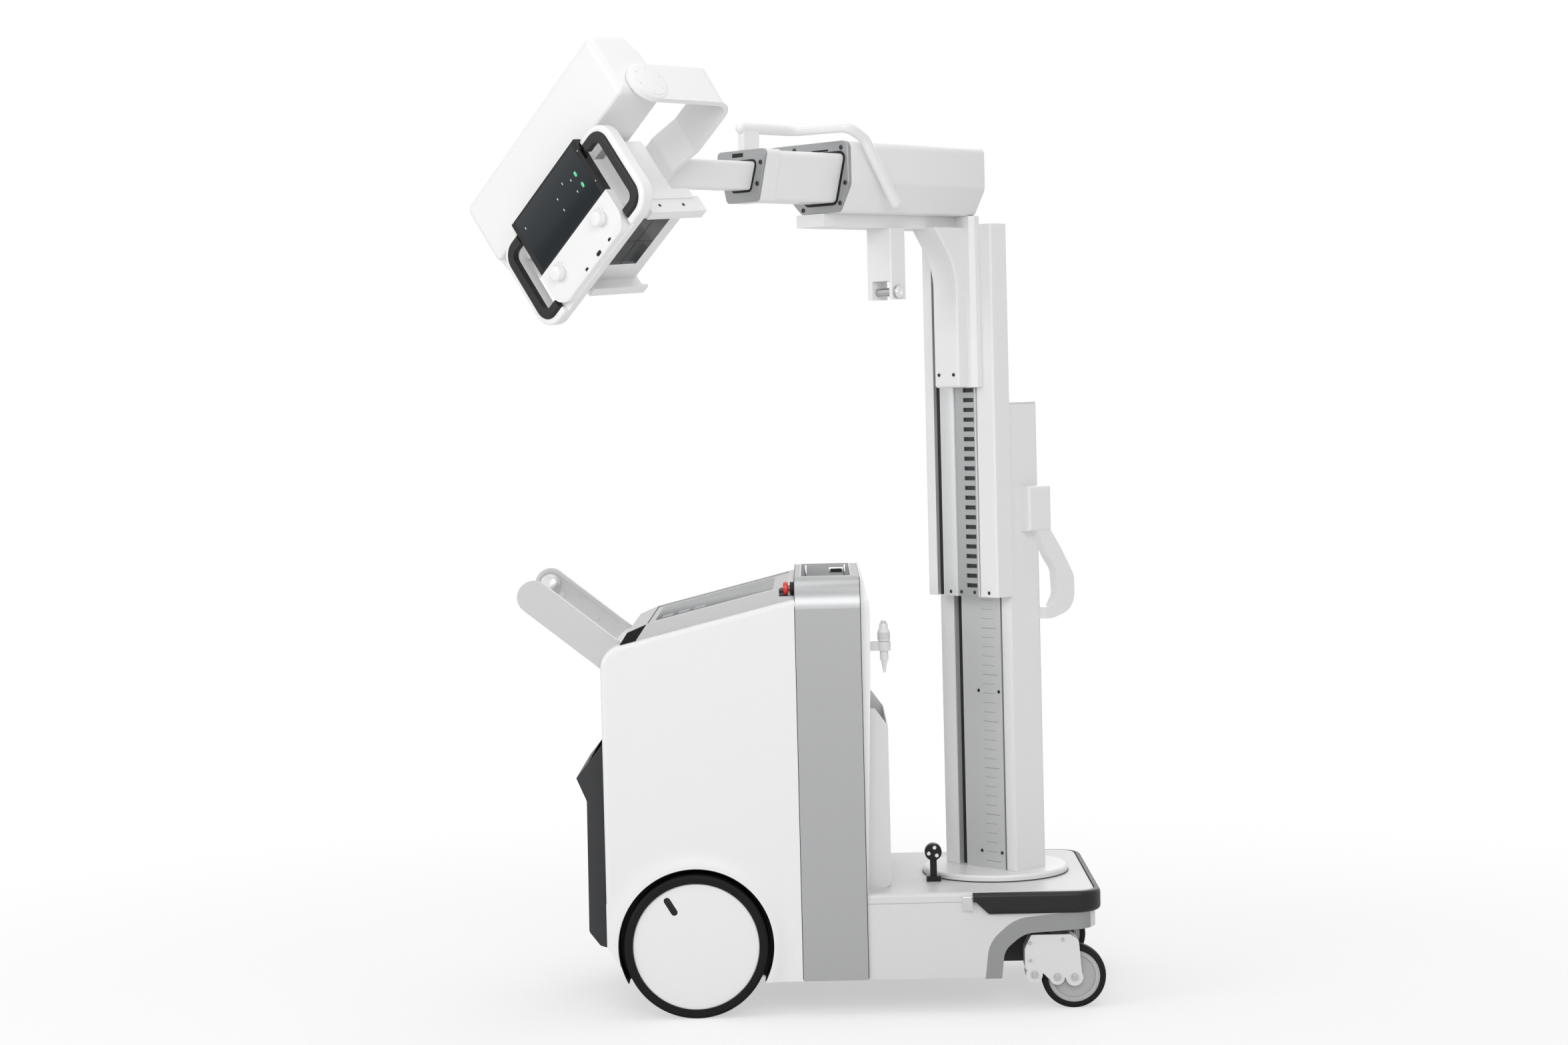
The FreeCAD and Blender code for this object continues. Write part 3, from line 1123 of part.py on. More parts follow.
def arm_end_frame():
    """Grey frame round the mouth of the housing."""
    step = END_FRAME_INSET
    round_ = HOUSING_ROUND - step
    outer = slab_x([(HOUSING_LEFT + step, HOUSING_LOW, round_), (HOUSING_LEFT + step, HOUSING_TOP - step, round_),
                    (HOUSING_RIGHT - step, HOUSING_TOP - step, round_),
                    (HOUSING_RIGHT - step, HOUSING_LOW, round_)],
                   HOUSING_FRONT, HOUSING_FRONT + END_FRAME_THICK)
    mouth = slab_x(trapezoid(MID_HALF_TOP, MID_HALF_LOW, MID_LOW, MID_TOP, MID_ROUND, TUBE_GAP),
                   HOUSING_FRONT - 5, HOUSING_FRONT + END_FRAME_THICK + 5)
    return outer.cut(mouth)


def latch_block():
    """Block under the arm with a slot and the pawl's bore through its cheeks."""
    block = box(LATCH_BACK, LATCH_FRONT, LATCH_LEFT, LATCH_RIGHT, LATCH_LOW, ARM_BEAM_LOW)
    block = softened(block, 4, lambda e: e.CenterOfMass.z < ARM_BEAM_LOW - 1 and e.BoundBox.ZLength > 50)
    slot = box(LATCH_BACK - 1, LATCH_FRONT + 1, LATCH_SLOT_LEFT, LATCH_SLOT_RIGHT, LATCH_LOW - 1,
               LATCH_SLOT_TOP)
    bore = rod(V(PAWL_X, LATCH_LEFT + 5, PAWL_Z), V(PAWL_X, LATCH_RIGHT + 5, PAWL_Z), PAWL_SHAFT + SHAFT_FIT)
    return block.cut(slot).cut(bore)


def latch_pawl():
    """Pawl on its shaft in the slot, with a disc outside the block."""
    shaft = rod(V(PAWL_X, LATCH_LEFT + 6, PAWL_Z), V(PAWL_X, LATCH_RIGHT + 2, PAWL_Z), PAWL_SHAFT)
    boss = rod(V(PAWL_X, LATCH_SLOT_LEFT + GUIDE_GAP, PAWL_Z), V(PAWL_X, LATCH_SLOT_RIGHT - GUIDE_GAP, PAWL_Z),
               PAWL_BOSS)
    finger = box(PAWL_X - PAWL_REACH, PAWL_X, LATCH_SLOT_LEFT + GUIDE_GAP, LATCH_SLOT_RIGHT - GUIDE_GAP,
                 PAWL_Z - PAWL_THICK, PAWL_Z)
    disc = rod(V(PAWL_X, LATCH_RIGHT + RUN_GAP, PAWL_Z), V(PAWL_X, LATCH_RIGHT + PAWL_DISC_THICK, PAWL_Z),
               PAWL_DISC)
    return one(shaft.fuse([boss, finger, disc]))


def mid_tube():
    """Middle tube of the telescopic arm."""
    outer = slab_x(trapezoid(MID_HALF_TOP, MID_HALF_LOW, MID_LOW, MID_TOP, MID_ROUND), MID_BACK, MID_FRONT)
    room = slab_x(trapezoid(INNER_HALF_TOP, INNER_HALF_LOW, INNER_LOW, INNER_TOP, INNER_ROUND, TUBE_GAP),
                  MID_BACK - 5, MID_FRONT + 5)
    return outer.cut(room)


def mid_end_frame():
    """Grey collar on the front of the middle tube, with a notch on top."""
    front = MID_FRONT + COLLAR_DEPTH
    outer = slab_x(trapezoid(MID_HALF_TOP, MID_HALF_LOW, MID_LOW, MID_TOP, MID_ROUND, COLLAR_GROW),
                   MID_FRONT, front)
    room = slab_x(trapezoid(INNER_HALF_TOP, INNER_HALF_LOW, INNER_LOW, INNER_TOP, INNER_ROUND, TUBE_GAP),
                  MID_FRONT - 5, front + 5)
    notch = box(front - 8, front + 1, ARM_CENTRE - 16, ARM_CENTRE + 16, MID_TOP - 5, MID_TOP + 20)
    return outer.cut(room).cut(notch)


def grab_handle():
    """Bent grab bar on the middle collar, with a free rounded end beside the housing."""
    post = box(GRAB_POST_X, GRAB_POST_X + GRAB_POST_LENGTH - 4, ARM_CENTRE - GRAB_POST_WIDTH / 2,
               ARM_CENTRE + GRAB_POST_WIDTH / 2, MID_TOP + COLLAR_GROW, GRAB_Z)
    middle = GRAB_POST_X + GRAB_POST_LENGTH / 2
    points = [V(middle + 18, ARM_CENTRE, GRAB_Z), V(575, ARM_CENTRE, GRAB_Z),
              V(525, GRAB_SIDE, GRAB_Z + 3), V(480, GRAB_SIDE + 2, GRAB_Z - 20),
              V(395, GRAB_SIDE, 1672)]
    bends = [35.0, 30.0, 40.0]
    edges = []
    last = points[0]
    for i in range(1, 4):
        start, turn, end = corner_ends(points[i - 1], points[i], points[i + 1], bends[i - 1])
        edges.append(Part.makeLine(last, start))
        edges.append(Part.Arc(start, turn, end).toShape())
        last = end
    edges.append(Part.makeLine(last, points[4]))
    path = Part.Wire(edges)
    section = Part.Wire([Part.makeCircle(GRAB_RADIUS, points[0], V(-1, 0, 0))])
    bar = path.makePipeShell([section], True, True)
    tip = Part.makeSphere(GRAB_RADIUS, points[4])
    start = Part.makeSphere(GRAB_RADIUS, points[0])
    return one(bar.fuse([tip, start, post]))


def inner_tube():
    """Inner tube of the telescopic arm, up to the yoke, with the bore that the yoke swivels in."""
    front = HEAD_REACH - YOKE_MIDDLE - RUN_GAP
    tube = slab_x(trapezoid(INNER_HALF_TOP, INNER_HALF_LOW, INNER_LOW, INNER_TOP, INNER_ROUND),
                  INNER_BACK, front)
    return tube.cut(rod(V(front - SWIVEL_LENGTH - 1, ARM_CENTRE, HEAD_AXIS_Z),
                        V(front + 1, ARM_CENTRE, HEAD_AXIS_Z), SWIVEL_RADIUS + SHAFT_FIT))


# Yoke and head

def yoke():
    """Bent yoke band with a pivot pin at each end and the swivel stub behind its middle."""
    thick = YOKE_THICK
    inner = YOKE_HALF - thick
    bend = YOKE_CORNER
    plan = [(-YOKE_HALF, -YOKE_BAND), (-YOKE_HALF, YOKE_BACK, bend), (-YOKE_JOGGLE_OUT, YOKE_BACK, 18),
            (-YOKE_JOGGLE_IN, YOKE_MIDDLE, 18), (YOKE_JOGGLE_IN, YOKE_MIDDLE, 18),
            (YOKE_JOGGLE_OUT, YOKE_BACK, 18), (YOKE_HALF, YOKE_BACK, bend), (YOKE_HALF, -YOKE_BAND),
            (inner, -YOKE_BAND), (inner, YOKE_BACK - thick, bend - thick),
            (YOKE_JOGGLE_OUT - 2, YOKE_BACK - thick, 18), (YOKE_JOGGLE_IN - 2, YOKE_MIDDLE - thick, 18),
            (-YOKE_JOGGLE_IN + 2, YOKE_MIDDLE - thick, 18), (-YOKE_JOGGLE_OUT + 2, YOKE_BACK - thick, 18),
            (-inner, YOKE_BACK - thick, bend - thick), (-inner, -YOKE_BAND)]
    band = slab_z(plan, -YOKE_BAND, YOKE_BAND)
    side = slab_x([(-YOKE_BAND, -YOKE_BAND, YOKE_BAND - 0.5), (YOKE_BACK + 5, -YOKE_BAND),
                   (YOKE_BACK + 5, YOKE_BAND), (-YOKE_BAND, YOKE_BAND, YOKE_BAND - 0.5)],
                  -YOKE_HALF - 5, YOKE_HALF + 5)
    band = band.common(side)
    band = band.fuse(rod(V(0, YOKE_MIDDLE - 2, 0), V(0, YOKE_MIDDLE + RUN_GAP + SWIVEL_LENGTH, 0),
                         SWIVEL_RADIUS))
    for end in (-1, 1):
        band = band.fuse(rod(V(end * (YOKE_HALF - 2), 0, 0), V(end * (inner - PIVOT_DEPTH), 0, 0),
                             PIVOT_RADIUS))
    return one(band)


def cover_section():
    """End outline of the head cover, with its sloping top."""
    return [(COVER_FRONT, COVER_LOW, 6), (COVER_FRONT, COVER_HIGH, 22), (COVER_TOP_BACK, COVER_HIGH, 22),
            (COVER_BACK, 80, 30), (COVER_BACK, COVER_LOW, 6)]


def head_cover():
    """Cover round the tube casing, with a bore for each yoke pin."""
    half = YOKE_HALF - YOKE_THICK - YOKE_GAP
    cover = slab_x(cover_section(), -half, half)
    cover = softened(cover, COVER_ROUND, lambda e: abs(abs(e.CenterOfMass.x) - half) < 0.5
                     and (e.CenterOfMass.y < COVER_FRONT + 1 or e.CenterOfMass.z > COVER_HIGH - 1))
    cover = cover.cut(casing_barrel())
    pin = half + YOKE_GAP - PIVOT_DEPTH - 2
    for end in (-1, 1):
        cover = cover.cut(rod(V(end * (half + 5), 0, 0), V(end * pin, 0, 0), PIVOT_RADIUS + SHAFT_FIT))
    return one(cover)


def casing_barrel():
    """Round barrel of the tube casing."""
    return rod(V(-CASING_HALF, CASING_Y, CASING_Z), V(CASING_HALF, CASING_Y, CASING_Z), CASING_RADIUS)


def tube_casing():
    """Tube casing barrel inside the cover, and the port under it."""
    return Part.makeCompound([casing_barrel(), tube_port()])


def tube_port():
    """Port ring under the cover, on which the collimator turns."""
    neck = Part.makeCylinder(NECK_RADIUS, COVER_LOW - COLLIMATOR_TOP - RUN_GAP,
                             V(0, BEAM_Y, COLLIMATOR_TOP + RUN_GAP))
    spigot = Part.makeCylinder(SPIGOT_R, SPIGOT_DEEP + 3, V(0, BEAM_Y, COLLIMATOR_TOP - SPIGOT_DEEP))
    return one(neck.fuse(spigot))


def collimator():
    """Collimator body with a flared foot, a window recess and two accessory rails."""
    top = COLLIMATOR_TOP
    body = slab_x([(COLLIMATOR_FRONT, COLLIMATOR_LOW), (COLLIMATOR_FRONT, top, 42),
                   (COLLIMATOR_BACK - COLLIMATOR_SLOPE, top, 14), (COLLIMATOR_BACK, COLLIMATOR_SLOPE_LOW, 20),
                   (COLLIMATOR_BACK, COLLIMATOR_LOW)], -COLLIMATOR_HALF, COLLIMATOR_HALF)
    corner = COLLIMATOR_CORNER
    plan = slab_z([(-COLLIMATOR_HALF, COLLIMATOR_FRONT, 8), (COLLIMATOR_HALF, COLLIMATOR_FRONT, 8),
                   (COLLIMATOR_HALF, COLLIMATOR_BACK - corner, 12), (COLLIMATOR_HALF - corner, COLLIMATOR_BACK, 12),
                   (-COLLIMATOR_HALF + corner, COLLIMATOR_BACK, 12), (-COLLIMATOR_HALF, COLLIMATOR_BACK - corner, 12)],
                  COLLIMATOR_LOW, top)
    body = body.common(plan)
    flare = COLLIMATOR_FLARE
    foot = slab_z([(-COLLIMATOR_HALF - flare, COLLIMATOR_FRONT, 10),
                   (COLLIMATOR_HALF + flare, COLLIMATOR_FRONT, 10),
                   (COLLIMATOR_HALF + flare, COLLIMATOR_BACK + flare, 10),
                   (-COLLIMATOR_HALF - flare, COLLIMATOR_BACK + flare, 10)],
                  COLLIMATOR_LOW, COLLIMATOR_LOW + FLARE_HEIGHT)
    body = body.fuse(foot)
    body = body.cut(Part.makeCylinder(SPIGOT_R + SHAFT_FIT, SPIGOT_DEEP + 2,
                                      V(0, BEAM_Y, top - SPIGOT_DEEP - 1)))
    body = body.cut(box(-WINDOW_HALF, WINDOW_HALF, WINDOW_FRONT, WINDOW_BACK, COLLIMATOR_LOW - 1,
                        COLLIMATOR_LOW + WINDOW_DEPTH))
    outer = COLLIMATOR_HALF + flare - 3
    for end in (-1, 1):
        x0, x1 = sorted((end * outer, end * (outer - RAIL_WEB)))
        body = body.fuse(box(x0, x1, RAIL_FRONT, RAIL_BACK, RAIL_LOW, COLLIMATOR_LOW + 6))
        x0, x1 = sorted((end * outer, end * (outer - RAIL_LIP)))
        body = body.fuse(box(x0, x1, RAIL_FRONT, RAIL_BACK, RAIL_LOW, RAIL_LOW + RAIL_LIP_THICK))
    return one(body)


def exit_window():
    """Window under the collimator."""
    return box(-WINDOW_HALF, WINDOW_HALF, WINDOW_FRONT, WINDOW_BACK, COLLIMATOR_LOW + 0.6,
               COLLIMATOR_LOW + WINDOW_DEPTH)


def ring_plan(inset):
    """Outline of the handle ring, drawn in by an inset."""
    corner = RING_CORNER - inset
    half = RING_HALF - inset
    return [(-half, RING_LOW + inset, corner), (half, RING_LOW + inset, corner),
            (half, RING_TOP - inset, corner), (-half, RING_TOP - inset, corner)]


def handle_ring():
    """White handle frame round the panel, with the skirt that joins it to the collimator."""
    ring = slab_y(ring_plan(0), RING_LIP_FRONT, RING_BACK)
    ring = softened(ring, 6, lambda e: e.BoundBox.YLength < 0.1 and e.Length > 20)
    ring = ring.cut(slab_y(ring_plan(RING_BAR), RING_LIP_FRONT - 1, RING_BACK + 1))
    ring = ring.cut(slab_y(ring_plan(RING_LIP), RING_LIP_FRONT - 1, RING_FRONT))
    ring = ring.cut(box(-PANEL_HALF, PANEL_HALF, RING_LIP_FRONT - 1, RING_FRONT, RING_LOW - 1, RING_TOP + 1))
    skirt = box(-SKIRT_HALF, SKIRT_HALF, RING_FRONT, COLLIMATOR_FRONT, SKIRT_LOW, SKIRT_TOP - 26)
    return one(ring.fuse(skirt))


def grips():
    """Black grips seated in the step of the handle frame, round on their front."""
    front = slab_y(ring_plan(RING_LIP), GRIP_FRONT, RING_FRONT)
    front = softened(front, GRIP_ROUND, lambda e: e.BoundBox.YMax < GRIP_FRONT + 0.1)
    front = front.cut(slab_y(ring_plan(RING_BAR - GRIP_INSET), GRIP_FRONT - 1, RING_FRONT + 1))
    right = front.common(box(GRIP_START, RING_HALF, GRIP_FRONT, RING_FRONT, RING_LOW, RING_TOP))
    left = front.common(box(-RING_HALF, -GRIP_START, GRIP_FRONT, RING_FRONT, RING_LOW, RING_TOP))
    return Part.makeCompound([right, left])


def control_panel():
    """White control panel under the display, with a leaning lower edge and bores for the knobs."""
    panel = slab_x([(PANEL_FRONT, DISPLAY_LOW), (RING_FRONT, DISPLAY_LOW), (RING_FRONT, PANEL_LOW),
                    (PANEL_FRONT + 2, PANEL_LOW + 1, PANEL_ROUND), (PANEL_FRONT, PANEL_LOW + PANEL_LEAN, PANEL_ROUND)],
                   -PANEL_HALF, PANEL_HALF)
    face = slab_y([(-PANEL_HALF, PANEL_LOW, PANEL_CORNER), (PANEL_HALF, PANEL_LOW, PANEL_CORNER),
                   (PANEL_HALF, DISPLAY_LOW), (-PANEL_HALF, DISPLAY_LOW)], PANEL_FRONT - 1, RING_FRONT)
    panel = panel.common(face)
    for end in (-1, 1):
        panel = panel.cut(rod(V(end * KNOB_X, PANEL_FRONT - 1, KNOB_Z), V(end * KNOB_X, RING_FRONT + 1, KNOB_Z),
                              KNOB_SHAFT + SHAFT_FIT))
    return one(panel)


def display():
    """Display box above the control panel."""
    return box(-DISPLAY_HALF, DISPLAY_HALF, PANEL_FRONT, RING_FRONT, DISPLAY_LOW, DISPLAY_TOP)


def knob(side):
    """Round knob on its shaft."""
    x = side * KNOB_X
    face = PANEL_FRONT - RUN_GAP
    cap = rod(V(x, face, KNOB_Z), V(x, face - KNOB_DEPTH, KNOB_Z), KNOB_RADIUS)
    cap = softened(cap, 2, lambda e: e.CenterOfMass.y < face - KNOB_DEPTH + 0.5)
    shaft = rod(V(x, face - 1, KNOB_Z), V(x, RING_FRONT - RUN_GAP, KNOB_Z), KNOB_SHAFT)
    return one(cap.fuse(shaft))


def all_nodes():
    """Every node at rest in the machine frame."""
    fork = caster_fork()
    hub = caster_hub()
    tyre = caster_tyre()
    rim = rear_rim()
    drive_tyre = rear_tyre()
    shell = side_shell()
    nodes = {
        "base_frame": base_frame(),
        "base_cover": base_cover(),
        "arch_trims": arch_trims(),
        "bumper": bumper(),
        "side_shell_right": shell,
        "side_shell_left": mirrored(shell),
        "rear_shell": rear_shell(),
        "tower_band": tower_band(),
        "front_shell": front_shell(),
        "top_tray": top_tray(),
        "console_frame": console_frame(),
        "console_screen": console_screen(),
        "stop_button": stop_button(),
        "rear_bin": rear_bin(),
        "detector_pocket": detector_pocket(),
        "handle_arms": handle_arms(),
        "handle_bar": handle_bar(),
        "switch_holder": switch_holder(),
        "hand_switch": hand_switch(),
        "switch_button": switch_button(),
        "lock_post": lock_post(),
        "power_units": power_units(),
        "rear_rim_right": rim,
        "rear_rim_left": mirrored(rim),
        "rear_tyre_right": drive_tyre,
        "rear_tyre_left": mirrored(drive_tyre),
        "caster_fork_right": fork,
        "caster_fork_left": mirrored(fork),
        "caster_hub_right": hub,
        "caster_hub_left": mirrored(hub),
        "caster_tyre_right": tyre,
        "caster_tyre_left": mirrored(tyre),
        "caster_boots": caster_boots(),
    }
    for name, maker in (("turntable", turntable), ("mast_profile", mast_profile),
                        ("mast_scale", mast_scale), ("mast_cover", mast_cover),
                        ("cable_guide", cable_guide), ("stage_profile", stage_profile),
                        ("stage_rack", stage_rack), ("arm_bracket", arm_bracket),
                        ("arm_housing", arm_housing), ("arm_end_frame", arm_end_frame),
                        ("latch_block", latch_block), ("latch_pawl", latch_pawl),
                        ("mid_tube", mid_tube), ("mid_end_frame", mid_end_frame),
                        ("grab_handle", grab_handle), ("inner_tube", inner_tube)):
        nodes[name] = placed(maker(), COLUMN_FRAME)
    nodes["yoke"] = placed(yoke(), YOKE_FRAME)
    for name, maker in (("head_cover", head_cover), ("tube_casing", tube_casing),
                        ("collimator", collimator),
                        ("exit_window", exit_window), ("handle_ring", handle_ring),
                        ("grips", grips), ("control_panel", control_panel), ("display", display)):
        nodes[name] = placed(maker(), HEAD_FRAME)
    nodes["knob_right"] = placed(knob(-1), HEAD_FRAME)
    nodes["knob_left"] = placed(knob(1), HEAD_FRAME)
    return nodes


def origin_shift(nodes):
    """Vector from the bottom centre of the whole machine to the origin."""
    bounds = FreeCAD.BoundBox()
    for shape in nodes.values():
        bounds.add(shape.optimalBoundingBox(False, False))
    return V(-(bounds.XMin + bounds.XMax) / 2, -(bounds.YMin + bounds.YMax) / 2, -bounds.ZMin)


NODES = all_nodes()
SHIFT = origin_shift(NODES)
os.makedirs("parts", exist_ok=True)
for node_name, node_shape in NODES.items():
    node_shape.translate(SHIFT)
    node_shape.exportStep("parts/" + node_name + ".step")
print("nodes", len(NODES), "shift", SHIFT)
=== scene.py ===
# Mobile x-ray machine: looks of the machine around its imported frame.
# Lengths are millimetres in the machine's own axes: X to the caster end, Y to the far side, Z up.

import bmesh
import bpy
import math
import numpy as np
from mathutils import Matrix, Vector


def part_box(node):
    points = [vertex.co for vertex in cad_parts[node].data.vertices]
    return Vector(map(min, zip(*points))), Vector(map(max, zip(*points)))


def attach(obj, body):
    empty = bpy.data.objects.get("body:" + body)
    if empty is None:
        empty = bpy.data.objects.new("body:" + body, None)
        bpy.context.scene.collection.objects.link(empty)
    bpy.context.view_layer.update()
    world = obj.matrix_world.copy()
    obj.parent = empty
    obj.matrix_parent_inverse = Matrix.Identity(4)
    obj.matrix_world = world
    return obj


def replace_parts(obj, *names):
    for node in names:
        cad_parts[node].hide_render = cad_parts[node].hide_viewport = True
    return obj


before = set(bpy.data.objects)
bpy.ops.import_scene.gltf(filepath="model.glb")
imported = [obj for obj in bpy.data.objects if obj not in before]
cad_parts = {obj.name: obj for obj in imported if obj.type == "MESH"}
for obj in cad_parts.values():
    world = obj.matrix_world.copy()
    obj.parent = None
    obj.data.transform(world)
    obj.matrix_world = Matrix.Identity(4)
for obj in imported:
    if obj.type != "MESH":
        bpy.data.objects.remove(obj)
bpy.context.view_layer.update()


# Axes of the moving groups
# The column turns about the turntable, the yoke sits on the arm's end and the head tilts in the yoke, so
# each group has its own axes, in which its pieces are drawn before they are put in place.

table_low, table_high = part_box("turntable")
machine_axes = Matrix.Translation(((table_low.x + table_high.x) / 2 - 0.3487,
                                   (table_low.y + table_high.y) / 2, 0)) @ Matrix.Scale(0.001, 4)
column_axes = (machine_axes @ Matrix.Translation((348.7, 0, 0))
               @ Matrix.Rotation(math.radians(224), 4, "Z"))
yoke_axes = (column_axes @ Matrix.Translation((1129, 28, 1717)) @ Matrix.Rotation(math.pi / 2, 4, "Z")
             @ Matrix.Rotation(math.radians(-37.9), 4, "Y"))
head_axes = yoke_axes @ Matrix.Rotation(math.radians(3.7), 4, "X")


# Camera
# It stands where the photograph was taken from: about 5.9 m in front of the near side, a little to the
# caster end and 1.3 m up.

yaw = math.radians(1.24)
pitch = math.radians(-2.11)
roll = math.radians(-1.43)
sight = Vector((-math.sin(yaw) * math.cos(pitch), math.cos(yaw) * math.cos(pitch), math.sin(pitch)))
level = Vector((math.cos(yaw), math.sin(yaw), 0))
upright = level.cross(sight)
cam_right = math.cos(roll) * level + math.sin(roll) * upright
cam_up = -math.sin(roll) * level + math.cos(roll) * upright
camera = bpy.data.objects.new("camera", bpy.data.cameras.new("camera"))
bpy.context.scene.collection.objects.link(camera)
camera.data.sensor_width = 36
camera.data.lens = 36 * 4400 / 2352
camera.data.shift_x = (1176 - 1125.06) / 2352
camera.data.shift_y = (733.11 - 784) / 2352
camera.data.clip_end = 60
stand = machine_axes @ Vector((-24.1, -6314.57, 1320.74))
camera.matrix_world = Matrix(((cam_right.x, cam_up.x, -sight.x, stand.x),
                              (cam_right.y, cam_up.y, -sight.y, stand.y),
                              (cam_right.z, cam_up.z, -sight.z, stand.z),
                              (0, 0, 0, 1)))
bpy.context.scene.camera = camera


# Floor, backdrop and lamps
# A pale studio floor that fades into a white surround, lit by broad soft lamps from the front, the left and
# above.

bpy.context.scene.view_settings.view_transform = "Standard"
world = bpy.data.worlds.new("studio")
bpy.context.scene.world = world
world.use_nodes = True
sky = world.node_tree.nodes
sky_links = world.node_tree.links
surround = sky["Background"]
surround.inputs["Color"].default_value = (1, 1, 1, 1)
ray = sky.new("ShaderNodeLightPath")
seen = sky.new("ShaderNodeMath")
seen.operation = "MAXIMUM"
seen_more = sky.new("ShaderNodeMath")
seen_more.operation = "MAXIMUM"
strength = sky.new("ShaderNodeMapRange")
strength.inputs["To Min"].default_value = 0.52
strength.inputs["To Max"].default_value = 1.0
sky_links.new(ray.outputs["Is Camera Ray"], seen.inputs[0])
sky_links.new(ray.outputs["Is Glossy Ray"], seen.inputs[1])
sky_links.new(seen.outputs[0], seen_more.inputs[0])
sky_links.new(ray.outputs["Is Transmission Ray"], seen_more.inputs[1])
sky_links.new(seen_more.outputs[0], strength.inputs["Value"])
sky_links.new(strength.outputs["Result"], surround.inputs["Strength"])

floor_mesh = bpy.data.meshes.new("floor")
floor_mesh.from_pydata([(-14, -14, 0), (14, -14, 0), (14, 14, 0), (-14, 14, 0)], [], [(0, 1, 2, 3)])
floor = bpy.data.objects.new("floor", floor_mesh)
bpy.context.scene.collection.objects.link(floor)
floor_finish = bpy.data.materials.new("pale_floor")
floor_finish.use_nodes = True
tree = floor_finish.node_tree
tree.nodes.clear()
place = tree.nodes.new("ShaderNodeTexCoord")
reach = tree.nodes.new("ShaderNodeVectorMath")
reach.operation = "LENGTH"
fade = tree.nodes.new("ShaderNodeMapRange")
fade.interpolation_type = "SMOOTHSTEP"
fade.inputs["From Min"].default_value = 0.7
fade.inputs["From Max"].default_value = 3.2
fade.inputs["To Min"].default_value = 0.55
fade.inputs["To Max"].default_value = 1.0
matt = tree.nodes.new("ShaderNodeBsdfDiffuse")
matt.inputs["Color"].default_value = (0.92, 0.92, 0.92, 1)
glow = tree.nodes.new("ShaderNodeEmission")
glow.inputs["Color"].default_value = (1, 1, 1, 1)
glow.inputs["Strength"].default_value = 1.0
mix = tree.nodes.new("ShaderNodeMixShader")
path = tree.nodes.new("ShaderNodeLightPath")
only_seen = tree.nodes.new("ShaderNodeMath")
only_seen.operation = "MULTIPLY"
sink = tree.nodes.new("ShaderNodeOutputMaterial")
tree.links.new(place.outputs["Object"], reach.inputs[0])
tree.links.new(reach.outputs["Value"], fade.inputs["Value"])
tree.links.new(fade.outputs["Result"], only_seen.inputs[0])
tree.links.new(path.outputs["Is Camera Ray"], only_seen.inputs[1])
tree.links.new(only_seen.outputs[0], mix.inputs["Fac"])
tree.links.new(matt.outputs[0], mix.inputs[1])
tree.links.new(glow.outputs[0], mix.inputs[2])
tree.links.new(mix.outputs[0], sink.inputs["Surface"])
floor_mesh.materials.append(floor_finish)


def lamp(name, at, aim, wide, power):
    """Square soft lamp of the given width in metres that faces a point."""
    data = bpy.data.lights.new(name, "AREA")
    data.shape = "SQUARE"
    data.size = wide
    data.energy = power
    made = bpy.data.objects.new(name, data)
    bpy.context.scene.collection.objects.link(made)
    made.location = at
    made.rotation_mode = "QUATERNION"
    made.rotation_quaternion = (Vector(aim) - Vector(at)).to_track_quat("-Z", "Y")


lamp("front_lamp", (0.4, -4.6, 3.0), (0, 0, 0.9), 2.6, 78)
lamp("left_lamp", (-4.0, -2.2, 2.6), (0, 0, 1.0), 2.4, 60)
lamp("top_lamp", (0.2, 0.2, 4.8), (0, 0, 0.5), 3.0, 46)
lamp("back_lamp", (1.8, 4.4, 2.8), (0, 0, 1.0), 2.6, 40)


# White body shells
# Thick moulded plastic shells with a fine powder-coat grain, screwed to the steel frame from inside: two
# sides, the middle of the rear, the tower front and the cover of the front base.

def finish(name, colour, rough, metal=0.0, grain=0.0, grain_size=900.0, coat=0.0, gloss=0.5):
    """A finish with one colour and gloss all over; noise in Object coordinates dimples it by grain."""
    made = bpy.data.materials.new(name)
    made.use_nodes = True
    shader = made.node_tree.nodes["Principled BSDF"]
    shader.inputs["Base Color"].default_value = (*colour, 1)
    shader.inputs["Roughness"].default_value = rough
    shader.inputs["Metallic"].default_value = metal
    shader.inputs["Coat Weight"].default_value = coat
    shader.inputs["Specular IOR Level"].default_value = gloss
    if grain > 0:
        where = made.node_tree.nodes.new("ShaderNodeTexCoord")
        noise = made.node_tree.nodes.new("ShaderNodeTexNoise")
        noise.inputs["Scale"].default_value = grain_size
        noise.inputs["Detail"].default_value = 2
        dimple = made.node_tree.nodes.new("ShaderNodeBump")
        dimple.inputs["Strength"].default_value = grain
        dimple.inputs["Distance"].default_value = 0.0004
        made.node_tree.links.new(where.outputs["Object"], noise.inputs["Vector"])
        made.node_tree.links.new(noise.outputs["Fac"], dimple.inputs["Height"])
        made.node_tree.links.new(dimple.outputs["Normal"], shader.inputs["Normal"])
    return made


def dress(names, made):
    """Gives CAD nodes a finish in each of their material slots."""
    for name in names:
        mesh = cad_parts[name].data
        if not mesh.materials:
            mesh.materials.append(made)
        for i in range(len(mesh.materials)):
            mesh.materials[i] = made


def lattice(rows, columns, around):
    """Quads of a grid of points; around closes its columns into a ring."""
    index = np.arange(rows * columns).reshape(rows, columns)
    if around:
        index = np.hstack([index, index[:, :1]])
    corners = [index[:-1, :-1], index[:-1, 1:], index[1:, 1:], index[1:, :-1]]
    return np.stack(corners, -1).reshape(-1, 4)


